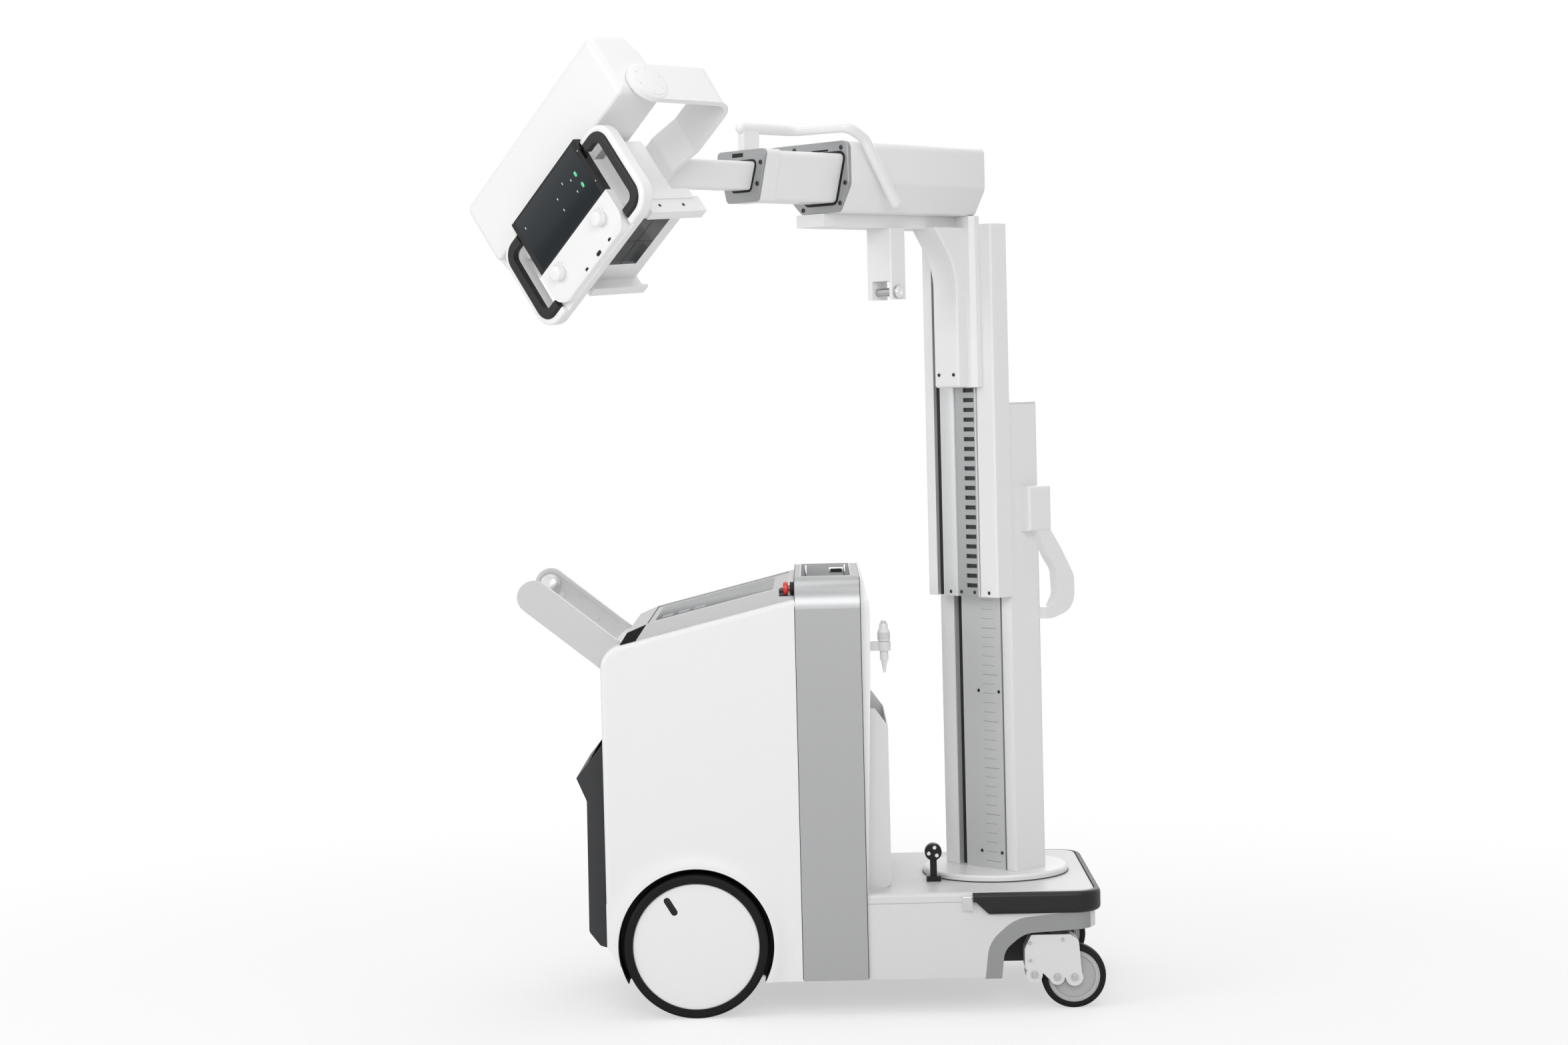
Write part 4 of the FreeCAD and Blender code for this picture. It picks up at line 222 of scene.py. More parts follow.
def rounded(corners, steps=7):
    """Closed outline through flat corners. A third number rounds a corner: points at the arc's centre plus
    radius times the cosine and sine of angles from one tangent point to the other."""
    flat = np.array([corner[:2] for corner in corners], float)
    bits = []
    for i, corner in enumerate(corners):
        here = flat[i]
        if len(corner) < 3 or corner[2] == 0:
            bits.append(here[None])
            continue
        back = flat[i - 1] - here
        ahead = flat[(i + 1) % len(flat)] - here
        back /= np.linalg.norm(back)
        ahead /= np.linalg.norm(ahead)
        half = math.acos(np.clip(back @ ahead, -1, 1)) / 2
        middle = (back + ahead) / np.linalg.norm(back + ahead)
        centre = here + middle * corner[2] / math.sin(half)
        first = here + back * corner[2] / math.tan(half) - centre
        last = here + ahead * corner[2] / math.tan(half) - centre
        start = math.atan2(first[1], first[0])
        turn = (math.atan2(last[1], last[0]) - start + math.pi) % (2 * math.pi) - math.pi
        angles = start + turn * np.linspace(0, 1, steps)
        bits.append(centre + corner[2] * np.stack([np.cos(angles), np.sin(angles)], -1))
    return np.vstack(bits)


def oblong(low_x, high_x, low_y, high_y, corner=0.0, steps=7):
    """Outline of a rectangle, each corner rounded by the same radius."""
    return rounded([(low_x, low_y, corner), (high_x, low_y, corner), (high_x, high_y, corner),
                    (low_x, high_y, corner)], steps)


def drawn_in(outline, amount):
    """The outline moved inwards along its own normals, which are its tangents turned a quarter."""
    tangent = np.roll(outline, -1, 0) - np.roll(outline, 1, 0)
    tangent /= np.linalg.norm(tangent, axis=1, keepdims=True)
    x, y = outline.T
    area = np.sum(x * np.roll(y, -1) - y * np.roll(x, -1))
    normal = np.stack([-tangent[:, 1], tangent[:, 0]], -1) * np.sign(area)
    return outline + normal * amount


def plate(outline, low, high, edge=0.6, steps=3):
    """Flat plate over an outline: rings at heights from low to high, drawn in at both faces by a quarter
    circle of radius edge, and closed by the two faces."""
    angles = np.linspace(0, math.pi / 2, steps)
    insets = edge * (1 - np.sin(angles))
    rises = edge * (1 - np.cos(angles))
    heights = np.concatenate([low + rises, (high - rises)[::-1]])
    insets = np.concatenate([insets, insets[::-1]])
    rings = [np.column_stack([drawn_in(outline, inset), np.full(len(outline), height)])
             for inset, height in zip(insets, heights)]
    points = np.vstack(rings)
    count = len(outline)
    caps = [np.arange(count)[::-1], np.arange(count) + count * (len(rings) - 1)]
    return points, lattice(len(rings), count, True), caps


def turned(profile, spokes=48, hexed=()):
    """Surface of revolution about Z: each (radius, height) of the profile goes round in spokes steps. The
    radius of the rings named in hexed follows a hexagon instead of a circle."""
    profile = np.array(profile, float)
    angles = np.linspace(0, 2 * math.pi, spokes, endpoint=False)
    six = math.cos(math.pi / 6) / np.cos(angles % (math.pi / 3) - math.pi / 6)
    radius = np.repeat(profile[:, :1], spokes, 1)
    for ring in hexed:
        radius[ring] *= six
    points = np.stack([radius * np.cos(angles), radius * np.sin(angles),
                       np.repeat(profile[:, 1:], spokes, 1)], -1)
    return points.reshape(-1, 3), lattice(len(profile), spokes, True), []


def socket_screw(key, seat, top, flat, wide, shoulder, foot):
    """Screw head with a hexagon socket. The socket has the radius key and its floor at the height seat. The
    top is flat out to one radius and falls to the full width at the shoulder, then straight to the foot."""
    profile = [(0, seat), (key, seat), (key, top), (flat, top), (wide, shoulder), (wide, foot), (0, foot)]
    return turned(profile, 24, (1, 2))


def swept(line, section, up=(0, 0, 1)):
    """A flat section carried along a line: line point plus section width times the normal plus section
    height times the binormal, where the normal is up with its part along the tangent taken away."""
    line = np.array(line, float)
    tangent = np.gradient(line, axis=0)
    tangent /= np.linalg.norm(tangent, axis=1, keepdims=True)
    up = np.array(up, float)
    normal = up - (tangent @ up)[:, None] * tangent
    normal /= np.linalg.norm(normal, axis=1, keepdims=True)
    other = np.cross(tangent, normal)
    section = np.array(section, float)[None]
    points = (line[:, None] + section[..., :1] * normal[:, None]
              + section[..., 1:] * other[:, None])
    count = section.shape[1]
    caps = [np.arange(count)[::-1], np.arange(count) + count * (len(line) - 1)]
    return points.reshape(-1, 3), lattice(len(line), count, True), caps


def joined(*shapes):
    """Several surfaces as one, with the face numbers of each moved past the points before it."""
    points = []
    quads = []
    caps = []
    start = 0
    for some, four, ends in shapes:
        points.append(some)
        quads.append(four + start)
        caps += [end + start for end in ends]
        start += len(some)
    return np.vstack(points), np.vstack(quads), caps


def facing(shape, axis):
    """The shape with its Z turned to the named axis: x, y or z, with a minus for the other way."""
    points, quads, caps = shape
    x, y, z = points.T
    ways = {"z": (x, y, z), "-z": (x, -y, -z), "x": (z, x, y), "-x": (-z, -x, y),
            "y": (-x, z, y), "-y": (x, -z, y)}
    return np.stack(ways[axis], -1), quads, caps


def moved(shape, by):
    """The shape shifted by a vector."""
    return shape[0] + np.array(by, float), shape[1], shape[2]


def repeated(shape, spots):
    """Copies of the shape at each spot."""
    return joined(*[moved(shape, spot) for spot in spots])


def flipped(shape):
    """The shape on the far side of the machine: its Y changes sign."""
    return shape[0] * (1, -1, 1), shape[1], shape[2]


def on_wall(shape, y):
    """A flat plate stood up at one Y: its second number becomes the height and it thickens towards -Y."""
    return shape[0][:, [0, 2, 1]] * (1, -1, 1) + (0, y, 0), shape[1], shape[2]


def piece(name, shape, axes, body, made, sharp=35):
    """One object from a surface: its points go through the axes into the frame, its doubles are merged, its
    faces turned outwards, and it rides on its body."""
    points, quads, caps = shape
    turn = np.array(axes)
    points = points @ turn[:3, :3].T + turn[:3, 3]
    mesh = bpy.data.meshes.new(name)
    mesh.from_pydata(points.tolist(), [], quads.tolist() + [cap.tolist() for cap in caps])
    work = bmesh.new()
    work.from_mesh(mesh)
    bmesh.ops.remove_doubles(work, verts=work.verts, dist=1e-6)
    bmesh.ops.recalc_face_normals(work, faces=work.faces)
    work.to_mesh(mesh)
    work.free()
    mesh.polygons.foreach_set("use_smooth", np.ones(len(mesh.polygons), bool))
    mesh.set_sharp_from_angle(angle=math.radians(sharp))
    mesh.materials.append(made)
    result = bpy.data.objects.new(name, mesh)
    bpy.context.scene.collection.objects.link(result)
    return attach(result, body)


white_shell = finish("white_shell_coat", (0.80, 0.80, 0.80), 0.38, grain=0.10)
dress(["side_shell_right", "side_shell_left", "rear_shell", "front_shell"], white_shell)
# The base cover gets a darker copy of the same white paint.
base_white = finish("base_cover_coat", (0.66, 0.66, 0.66), 0.40, grain=0.10)
dress(["base_cover"], base_white)

# Near-black plastic for the stop collar and the tube seals. The same black is also painted shade in the wheel
# wells, the card slot, the wheel index slots, the gap and notch on the arm and the slots of the panel.
black_plastic_and_shade = finish("black_plastic_and_painted_shade", (0.010, 0.010, 0.010), 0.5, grain=0.15, gloss=0.25)
seam_line = finish("dark_seam", (0.03, 0.03, 0.032), 0.6)


# Painted shade in the drive wheel wells
# A thin sheet closes each well round and behind the wheel, coloured near-black as painted shade inside the
# well. It ends at the lower edge of the side shell, a little below the axle.

wheel_x = -290
wheel_z = 150


def well_shade_sheet():
    """Half-open pan: for each angle above the shell's bottom edge, a line from the mouth in along the wall
    and down the back, with a hole for the axle."""
    angle = np.radians(np.linspace(-28.2, 208.2, 91))[:, None]
    radius = np.array([161.7, 161.7, 24.0, 24.0, 160.4, 160.4])[None, :]
    depth = np.array([-269.5, -212.4, -212.4, -213.6, -213.6, -269.5])[None, :]
    rings = np.stack([wheel_x + radius * np.cos(angle), depth + 0 * angle, wheel_z + radius * np.sin(angle)],
                     -1)
    caps = [np.arange(6)[::-1], np.arange(6) + 6 * (len(rings) - 1)]
    return rings.reshape(-1, 3), lattice(len(rings), 6, True), caps


piece("well_shade_sheet_right", well_shade_sheet(), machine_axes, "chassis", black_plastic_and_shade)
piece("well_shade_sheet_left", flipped(well_shade_sheet()), machine_axes, "chassis", black_plastic_and_shade)


# Silver band of the tower
# A wrapped aluminium sheet in silver metallic paint, from the floor edge over both shoulders of the tower,
# with thin dark joints to the shells beside it.

silver_paint = finish("silver_metallic_paint", (0.405, 0.407, 0.412), 0.38, metal=0.75, grain=0.06,
                      grain_size=1500)
dress(["tower_band"], silver_paint)


tower_side = 270
tower_top = 909
tower_foot = 76
shoulder = 63


def tower_line(x):
    """Line over the tower at one X: up the near side, round both shoulders and down the far side."""
    angle = np.linspace(math.pi, math.pi / 2, 15)
    near = np.stack([shoulder * (1 + np.cos(angle)) - tower_side,
                     tower_top - shoulder * (1 - np.sin(angle))], -1)
    near = np.vstack([[[-tower_side, tower_foot]], [[-tower_side, 500]], near])
    both = np.vstack([near, near[::-1] * (-1, 1)])
    return np.column_stack([np.full(len(both), x), both])


thin = oblong(-0.5, 0.35, -0.7, 0.7)


def tower_joint(x):
    """Thin strip along the tower line: a ring of four points at each step, out by the strip's height."""
    line = tower_line(x)
    tangent = np.gradient(line, axis=0)
    out = np.cross(tangent, (1.0, 0, 0))
    out /= np.linalg.norm(out, axis=1, keepdims=True)
    out *= np.sign(np.sum(out * (line - (x, 0, 500)), 1, keepdims=True))
    along = np.array((1.0, 0, 0))
    rings = np.stack([line + out * a + along * b for a, b in thin], 1)
    count = rings.shape[1]
    caps = [np.arange(count)[::-1], np.arange(count) + count * (len(line) - 1)]
    return rings.reshape(-1, 3), lattice(len(line), count, True), caps


piece("tower_joints", joined(tower_joint(-69.4), tower_joint(66.4)), machine_axes, "chassis", seam_line)


# Tray in the tower top
# Pressed silver tray with a rubber mat on its floor, a card slot in the far wall and two chromed clips.

silver_trim = finish("silver_trim_paint", (0.56, 0.565, 0.57), 0.30, metal=0.55)
dress(["top_tray"], silver_trim)
mat_black = finish("ribbed_mat_rubber", (0.10, 0.10, 0.105), 0.7)
mat = plate(oblong(-52, 45, -198, 198, 6), 873.1, 874.6, 0.5)
mat_rib = swept([(-48, 0, 874.7), (41, 0, 874.7)], oblong(-0.7, 0.5, -1.2, 1.2, 0.5, 3))
rib_spots = [(0, y, 0) for y in range(-190, 191, 10)]
piece("tray_mat", joined(mat, repeated(mat_rib, rib_spots)), machine_axes, "chassis", mat_black)
chrome = finish("chrome_steel", (0.72, 0.72, 0.73), 0.12, metal=1.0)
clip = plate(rounded([(-2.5, 0), (2.5, 0), (2.5, 30, 2.5), (-2.5, 30, 2.5)], 5), 0, 2.2, 0.6)
clip = facing(clip, "y")
piece("tray_clips", joined(moved(clip, (-46, 199.4, 877)), moved(clip, (40, 199.4, 877))), machine_axes,
      "chassis", chrome)
far_wall = 202.0
slot_plate = on_wall(plate(oblong(6, 37, 888, 901, 0, 2), 0, 0.8, 0.2), far_wall)
# The slot's opening is a flat black plate just proud of the wall: painted shade.
slot_opening_shade = on_wall(plate(oblong(9, 34.5, 890.5, 898.5, 0, 2), 0.75, 1.0, 0.1), far_wall)
piece("card_slot_plate", slot_plate, machine_axes, "chassis", silver_trim)
piece("card_slot_shade", slot_opening_shade, machine_axes, "chassis", black_plastic_and_shade)


# Console
# Silver cast rim on both sides of a black touch glass that slopes to the rear, with faint marks on it, and the
# red stop button on a black collar at the near front corner.

console_silver = finish("console_silver_paint", (0.53, 0.53, 0.535), 0.36, metal=0.35, grain=0.06)
dress(["console_frame"], console_silver)
black_glass = finish("black_glass", (0.006, 0.006, 0.007), 0.14, gloss=0.35)
dress(["console_screen"], black_glass)
slope = math.radians(13.7)
console_axes = (machine_axes @ Matrix.Translation((-69, 0, 866.9)) @ Matrix.Rotation(-slope, 4, "Y"))
screen_grey = finish("screen_off_grey", (0.011, 0.015, 0.018), 0.22, gloss=0.25)
lit_area = plate(oblong(-296, -40, -178, 178, 4, 4), 26.72, 26.95, 0.1)
piece("console_lit_area", lit_area, console_axes, "chassis", screen_grey)
mark_grey = finish("screen_mark_grey", (0.30, 0.33, 0.35), 0.4)
bar = plate(oblong(-8, 8, -1.2, 1.2, 1, 4), 26.9, 27.05, 0.05)
tile = plate(oblong(-12, 12, -12, 12, 3, 4), 26.9, 27.05, 0.05)
tiles = repeated(tile, [(x, y, 0) for x in (-270, -235, -200) for y in (-150, -115, 115, 150)])
bars = repeated(bar, [(x, y, 0) for x in (-250, -235, -220, -100, -85, -70) for y in (-60, 0, 60)])
piece("console_marks", joined(tiles, bars), console_axes, "chassis", mark_grey)

stop_red = finish("red_stop_cap", (0.62, 0.012, 0.010), 0.22, coat=0.4)
stop_profile = [(0, -4.3), (6, -4.3), (6, 0), (11.5, 0), (13.2, 0.8), (13.8, 2.6), (13.95, 5.5), (13.3, 8.0),
                (11.6, 9.9), (8, 10.8), (4, 11.0), (0, 11.0)]
lobes = 12
lobe_depth = 0.022
stop_y = -236
stop_z = 888


def stop_cap():
    """Cap turned from its profile, its rim beyond 11 mm waved by the cosine of the lobes round the axis."""
    points, quads, caps = turned(stop_profile, 60)
    wave = lobe_depth * (np.cos(lobes * np.arctan2(points[:, 1], points[:, 0])) - 1)
    at_rim = np.hypot(points[:, 0], points[:, 1]) > 11
    width = 1 + at_rim * wave
    return points * np.column_stack([width, width, np.ones(len(width))]), quads, caps


stop_shape = moved(facing(stop_cap(), "-x"), (-82.3, stop_y, stop_z))
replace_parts(piece("stop_mushroom", stop_shape, machine_axes, "stop", stop_red), "stop_button")
sleeve_profile = [(6.3, 9.05), (12.9, 9.05), (12.9, 1.0), (12.05, 1.0), (12.05, 8.9), (6.3, 8.9), (6.3, 9.05)]
stop_sleeve = moved(facing(turned(sleeve_profile, 48), "-x"), (-69, stop_y, stop_z))
piece("stop_collar_sleeve", stop_sleeve, machine_axes, "chassis", black_plastic_and_shade)


# Push handle
# Two flat aluminium arms in silver paint, hollowed on the inner face, carry a round bar with stepped
# collars. A plug and a screw show in each hollow.

handle_silver = finish("handle_silver_paint", (0.56, 0.56, 0.565), 0.40, metal=0.35, grain=0.06)
dress(["handle_arms"], handle_silver)
bar_silver = finish("handle_bar_paint", (0.66, 0.66, 0.665), 0.32, metal=0.15)
bar_at = (-614, 0, 879)
half_bar = [(17, 172), (17.6, 173), (17.6, 182), (19.5, 184), (22, 185.5), (22, 198), (0, 198)]
whole_bar = [(radius, -along) for radius, along in reversed(half_bar)] + half_bar
grip_bar = moved(facing(turned(whole_bar, 48), "y"), bar_at)
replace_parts(piece("push_bar", grip_bar, machine_axes, "chassis", bar_silver), "handle_bar")
arm_axes = machine_axes @ Matrix.Translation(bar_at) @ Matrix.Rotation(math.radians(38.6), 4, "Y")
plug = turned([(0, 2.6), (4.2, 2.6), (4.6, 2.2), (6.6, 2.2), (7.2, 1.6), (7.2, 0), (0, 0)], 28)
near_plug = moved(facing(plug, "y"), (34, -198, -4))
arm_screw = turned([(0, 1.4), (2.2, 1.4), (2.2, 2.6), (3.6, 2.6), (4.4, 1.9), (4.5, 0), (0, 0)], 24, (1, 2))
far_plug = moved(facing(plug, "-y"), (34, 198, -4))
near_screw = moved(facing(arm_screw, "y"), (128, -198, 0))
far_screw = moved(facing(arm_screw, "-y"), (128, 198, 0))
piece("handle_arm_plugs", joined(near_plug, far_plug, near_screw, far_screw), arm_axes, "chassis", bar_silver)


# Bin, pocket, hand switch and park post
# A dark grey moulded bin on the rear, a white pocket for the flat detector on the tower front, a white hand
# switch in its holder, and a black post on the base that the arm's latch takes hold of.

bin_grey = finish("dark_grey_moulding", (0.036, 0.037, 0.039), 0.5, grain=0.2, gloss=0.3)
dress(["rear_bin"], bin_grey)
pocket_white = finish("pocket_white", (0.74, 0.74, 0.745), 0.42, grain=0.08)
dress(["detector_pocket", "switch_holder"], pocket_white)
switch_white = finish("switch_white", (0.80, 0.80, 0.80), 0.25)
switch_profile = [(0, 699), (1.6, 699.4), (2.6, 702), (4.8, 714), (6.6, 724), (7.0, 726), (8.8, 726.6),
                  (9, 728), (9, 765.3), (11, 765.3), (12.6, 766.6), (13, 770), (13, 784), (12.2, 788),
                  (10, 791.5), (9.2, 793), (9, 801.5), (8.4, 803), (6.1, 803), (6.1, 789), (0, 789)]
switch_at = (116, -150, 0)
switch_body = moved(turned(switch_profile, 40), switch_at)
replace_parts(piece("switch_handle", switch_body, machine_axes, "switch", switch_white), "hand_switch")
button_profile = [(0, 794), (6, 794), (6, 806.5), (5.4, 808.2), (3.6, 808.9), (0, 809)]
button_white = finish("switch_button_grey", (0.62, 0.62, 0.63), 0.3)
exposure_shape = moved(turned(button_profile, 32), switch_at)
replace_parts(piece("exposure_cap", exposure_shape, machine_axes, "exposure", button_white),
                    "switch_button")
switch_rib = moved(turned([(13.05, -0.8), (13.7, -0.5), (13.7, 0.5), (13.05, 0.8), (12.6, 0)], 32), switch_at)
piece("switch_ribs", repeated(switch_rib, [(0, 0, z) for z in range(771, 784, 3)]), machine_axes, "switch",
      button_white)
post_black = finish("park_post_black", (0.006, 0.006, 0.006), 0.34, gloss=0.3)
dress(["lock_post"], post_black)
post_screw = socket_screw(key=1.7, seat=0.6, top=1.5, flat=3.6, wide=4.2, shoulder=0.8, foot=-0.4)
around_post = [(211 + 10 * math.sin(a), 0, 312 + 10 * math.cos(a)) for a in np.radians([15, 135, 255])]
near_screws = moved(repeated(facing(post_screw, "-y"), around_post), (0, -125, 0))
far_screws = moved(repeated(facing(post_screw, "y"), around_post), (0, -103, 0))
piece("park_post_screws", joined(near_screws, far_screws), machine_axes, "chassis", chrome)


# Drive wheels
# A flat white disc with an index slot, filled black as painted shade, pressed into a solid black tyre with
# round shoulders.

disc_white = finish("wheel_disc_white", (0.80, 0.80, 0.80), 0.36, grain=0.05)
dress(["rear_rim_right", "rear_rim_left"], disc_white)
tyre_black = finish("tyre_rubber_black", (0.0055, 0.0055, 0.0055), 0.6, grain=0.25, grain_size=500,
                    gloss=0.18)
tyre_profile = [(132, 0), (135, 0), (140, 0), (140.6, 0), (143.5, 0), (144.1, 0), (146, 0.4),
                (148.4, 2.2), (149.7, 5), (150, 8.5), (150, 13), (149, 14), (149, 15.4), (150, 16.4),
                (150, 27.5), (149, 28.4), (149, 29.6), (150, 30.5), (150, 41.6), (149, 42.6), (149, 44),
                (150, 45), (150, 49.5), (149.5, 53), (147.5, 56.2), (144, 58), (132, 58), (132, 0)]
drive_tyre = moved(facing(turned(tyre_profile, 128), "y"), (wheel_x, -280, wheel_z))
slot_angle = math.radians(121)
# A black plate fills the index slot: painted shade.
index_shade, index_shade_quads, index_shade_caps = moved(plate(oblong(-20.9, 20.9, -6.9, 6.9, 6.85, 9), 0.1, 3.6, 0.3),
                                       (99.0, 0, 0))
across, up, out = index_shade.T
index_shade_turned = np.stack([across * math.cos(slot_angle) - up * math.sin(slot_angle),
                         across * math.sin(slot_angle) + up * math.cos(slot_angle), out], -1)
index_slot_shade = moved(facing((index_shade_turned, index_shade_quads, index_shade_caps), "-y"), (wheel_x, -273, wheel_z))
wheel_shapes = (("right", drive_tyre, index_slot_shade), ("left", flipped(drive_tyre), flipped(index_slot_shade)))
for side, tyre_shape, index_shade_shape in wheel_shapes:
    tyre = piece("drive_tyre_" + side, tyre_shape, machine_axes, "wheel_" + side, tyre_black)
    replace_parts(tyre, "rear_tyre_" + side)
    piece("index_slot_shade_" + side, index_shade_shape, machine_axes, "wheel_" + side, black_plastic_and_shade)


# Frame, base and bumper
# Welded steel in dark paint under the shells, a black rubber bumper with a light end block on each side, and
# a silver strip round each caster arch.

steel_dark = finish("dark_frame_paint", (0.030, 0.030, 0.032), 0.5, metal=0.2)
dress(["base_frame", "power_units"], steel_dark)
bumper_rubber = finish("bumper_rubber_black", (0.012, 0.012, 0.013), 0.40, grain=0.2, gloss=0.3)
dress(["bumper", "caster_boots"], bumper_rubber)
trim_silver = finish("arch_trim_silver", (0.30, 0.302, 0.306), 0.34, metal=0.65)
dress(["arch_trims"], trim_silver)
end_block = on_wall(plate(oblong(263.3, 284.4, 213.5, 242.5, 3, 4), 0, 8.6, 1.6, 4), -267.0)
block_silver = finish("end_block_silver", (0.60, 0.60, 0.605), 0.22, metal=0.5)
piece("bumper_end_blocks", joined(end_block, flipped(end_block)), machine_axes, "chassis", block_silver)


# Casters
# Cast and painted forks with hex bolts, light grey two-step hubs and black tyres, on rubber boots.

fork_white = finish("fork_cast_paint", (0.70, 0.70, 0.70), 0.35, grain=0.12)
dress(["caster_fork_right", "caster_fork_left"], fork_white)
hub_grey = finish("caster_hub_grey", (0.46, 0.46, 0.465), 0.35)
dress(["caster_hub_right", "caster_hub_left"], hub_grey)
caster_rubber = finish("caster_rubber_black", (0.007, 0.007, 0.007), 0.55, gloss=0.2)
dress(["caster_tyre_right", "caster_tyre_left"], caster_rubber)
bolt_steel = finish("bolt_steel", (0.55, 0.55, 0.56), 0.25, metal=1.0)
bolt_profile = [(0, 4.8), (5.0, 4.8), (5.6, 4.2), (5.6, 1.2), (8.2, 1.2), (8.4, 0.9), (8.4, 0), (0, 0)]
hex_bolt = turned(bolt_profile, 36, (1, 2, 3))
small_bolt = socket_screw(key=1.6, seat=1.0, top=2.4, flat=3.0, wide=3.6, shoulder=1.8, foot=0)
cheek_spots = [(410, 0, 74), (457, 0, 68), (493, 0, 67)]
hood_spots = [(402, 0, 140), (402, 0, 104), (470, 0, 146)]
outer_face = (0, -259.0, 0)
inner_face = (0, -203.0, 0)
fork_bolts = joined(moved(repeated(facing(hex_bolt, "-y"), cheek_spots), outer_face),
                    moved(repeated(facing(hex_bolt, "y"), cheek_spots), inner_face),
                    moved(repeated(facing(small_bolt, "-y"), hood_spots), outer_face))
piece("fork_bolts_right", fork_bolts, machine_axes, "fork_right", bolt_steel)
piece("fork_bolts_left", flipped(fork_bolts), machine_axes, "fork_left", bolt_steel)


# Column foot and mast
# An extruded aluminium mast stands on a white turntable inside a white cover. Its front has a guide slot and a
# narrow groove, their floors painted black as shade, a light scale panel with a tick every 20 mm, and a
# plastic cap closes its top.

column_white = finish("column_white_paint", (0.80, 0.80, 0.80), 0.33, grain=0.06)
dress(["turntable", "mast_cover"], column_white)
profile_silver = finish("anodised_profile", (0.66, 0.665, 0.67), 0.35, metal=0.35, grain=0.05)
dress(["mast_profile", "mast_scale"], profile_silver)
# Near-black for the floors of the slots and grooves in the mast and the stage: painted shade.
slot_floor_shade = finish("slot_painted_shade", (0.012, 0.012, 0.013), 0.4)


def strip(x, low_y, high_y, low, high, thick=0.5, edge=0.15):
    """Flat strip on a face at one X, between two Y and two heights."""
    flat = plate(oblong(low_y, high_y, low, high, 0, 2), 0, thick, edge)
    return np.stack([x + flat[0][:, 2], flat[0][:, 0], flat[0][:, 1]], -1), flat[1], flat[2]


mast_face = 48.0
mast_low = 265
mast_high = 1256
# Strips on the floors of the guide slot and the narrow groove, in the painted shade.
mast_shade_strips = joined(strip(mast_face - 13.9, -58.9, -37.1, mast_low, mast_high),
                     strip(mast_face - 5.9, 74.1, 78.9, mast_low, mast_high))
piece("mast_slot_shade", mast_shade_strips, column_axes, "column", slot_floor_shade)
slot_walls = [plate(oblong(mast_face - 13.8, mast_face - 0.3, y, y + 0.5, 0, 2), mast_low, mast_high, 0.05)
              for y in (-59.0, -37.5)]
piece("mast_slot_walls", joined(*slot_walls), column_axes, "column", profile_silver)
left_face = strip(mast_face, -97.5, -60.0, mast_low, mast_high + 0.5)
right_face = strip(mast_face, 79.8, 107.5, mast_low, mast_high + 0.5)
piece("mast_front_strips", joined(left_face, right_face), column_axes, "column", column_white)
tick_grey = finish("scale_tick_grey", (0.34, 0.34, 0.35), 0.5)
scale_face = mast_face - 0.42
scale_zero = 280
tick = strip(scale_face, 20, 54, -0.55, 0.55, 0.16, 0.04)
long_tick = strip(scale_face, 20, 62, -0.8, 0.8, 0.16, 0.04)
tick_spots = [(0, 0, z) for z in range(scale_zero, 1250, 20) if (z - scale_zero) % 100]
long_spots = [(0, 0, z) for z in range(scale_zero, 1250, 100)]
piece("scale_ticks", joined(repeated(tick, tick_spots), repeated(long_tick, long_spots)), column_axes,
      "column", tick_grey)
panel_screw = socket_screw(key=1.5, seat=0.2, top=1.0, flat=3.2, wide=3.9, shoulder=0.4, foot=-0.2)
dark_screw = finish("black_oxide_screw", (0.05, 0.05, 0.05), 0.35, metal=0.7)
scale_spots = [(mast_face - 0.4, y, z) for z in (300, 645, 1000) for y in (7, 65)]
piece("scale_screws", repeated(facing(panel_screw, "x"), scale_spots), column_axes, "column", dark_screw)
cap_outline = rounded([(-48, -98, 12), (48, -98, 2), (48, 108, 2), (-48, 108, 12)])
mast_cap = plate(drawn_in(cap_outline, 0.3), 1257.0, 1261.5, 1.6, 4)
cap_white = finish("cap_white", (0.76, 0.76, 0.765), 0.4)
piece("mast_cap", mast_cap, column_axes, "column", cap_white)
table_groove = turned([(154.5, 251.6), (157.2, 251.6), (157.2, 252.2), (154.5, 252.2), (154.5, 251.6)], 96)
piece("turntable_seal", table_groove, column_axes, "column", seam_line)


# Lifting stage
# A second extrusion that rides on the mast: white strips at both edges, a guide slot and a narrow channel
# whose floors are painted black as shade, a light panel, and a strip with a punched slot every 20.7 mm over a
# black sheet that is painted shade in its slots.

dress(["stage_profile"], column_white)
rack_silver = finish("slotted_strip_silver", (0.42, 0.425, 0.43), 0.38, metal=0.5)
dress(["stage_rack"], rack_silver)
stage_face = 98.0
stage_low = 852
stage_high = 1636
# Near-black strips on the floors of the guide slot and the channel, and a thin one behind the slotted strip:
# painted shade.
stage_shade_strips = joined(strip(stage_face - 9.9, -58.9, -40.1, stage_low, stage_high),
                      strip(stage_face - 9.9, 62.1, 66.9, stage_low, stage_high),
                      strip(stage_face - 5.98, 23.5, 54.5, 866, 1632, 0.2))
piece("stage_slot_shade", stage_shade_strips, column_axes, "stage", slot_floor_shade)
stage_walls = [plate(oblong(stage_face - 9.8, stage_face - 0.3, y, y + 0.5, 0, 2), stage_low, stage_high,
                     0.05) for y in (-59.0, -40.5)]
piece("stage_slot_walls", joined(*stage_walls), column_axes, "stage", profile_silver)
stage_panel = strip(stage_face, -39.0, -2.0, stage_low - 0.5, stage_high + 0.5, 0.25)
piece("stage_panel", stage_panel, column_axes, "stage", profile_silver)
foot_z = 860
foot_spots = [(stage_face - 2.9, 8, foot_z), (stage_face - 2.9, 46, foot_z), (stage_face + 0.1, -20, foot_z),
              (stage_face, 90, foot_z)]
piece("stage_foot_screws", repeated(facing(panel_screw, "x"), foot_spots), column_axes, "stage", dark_screw)


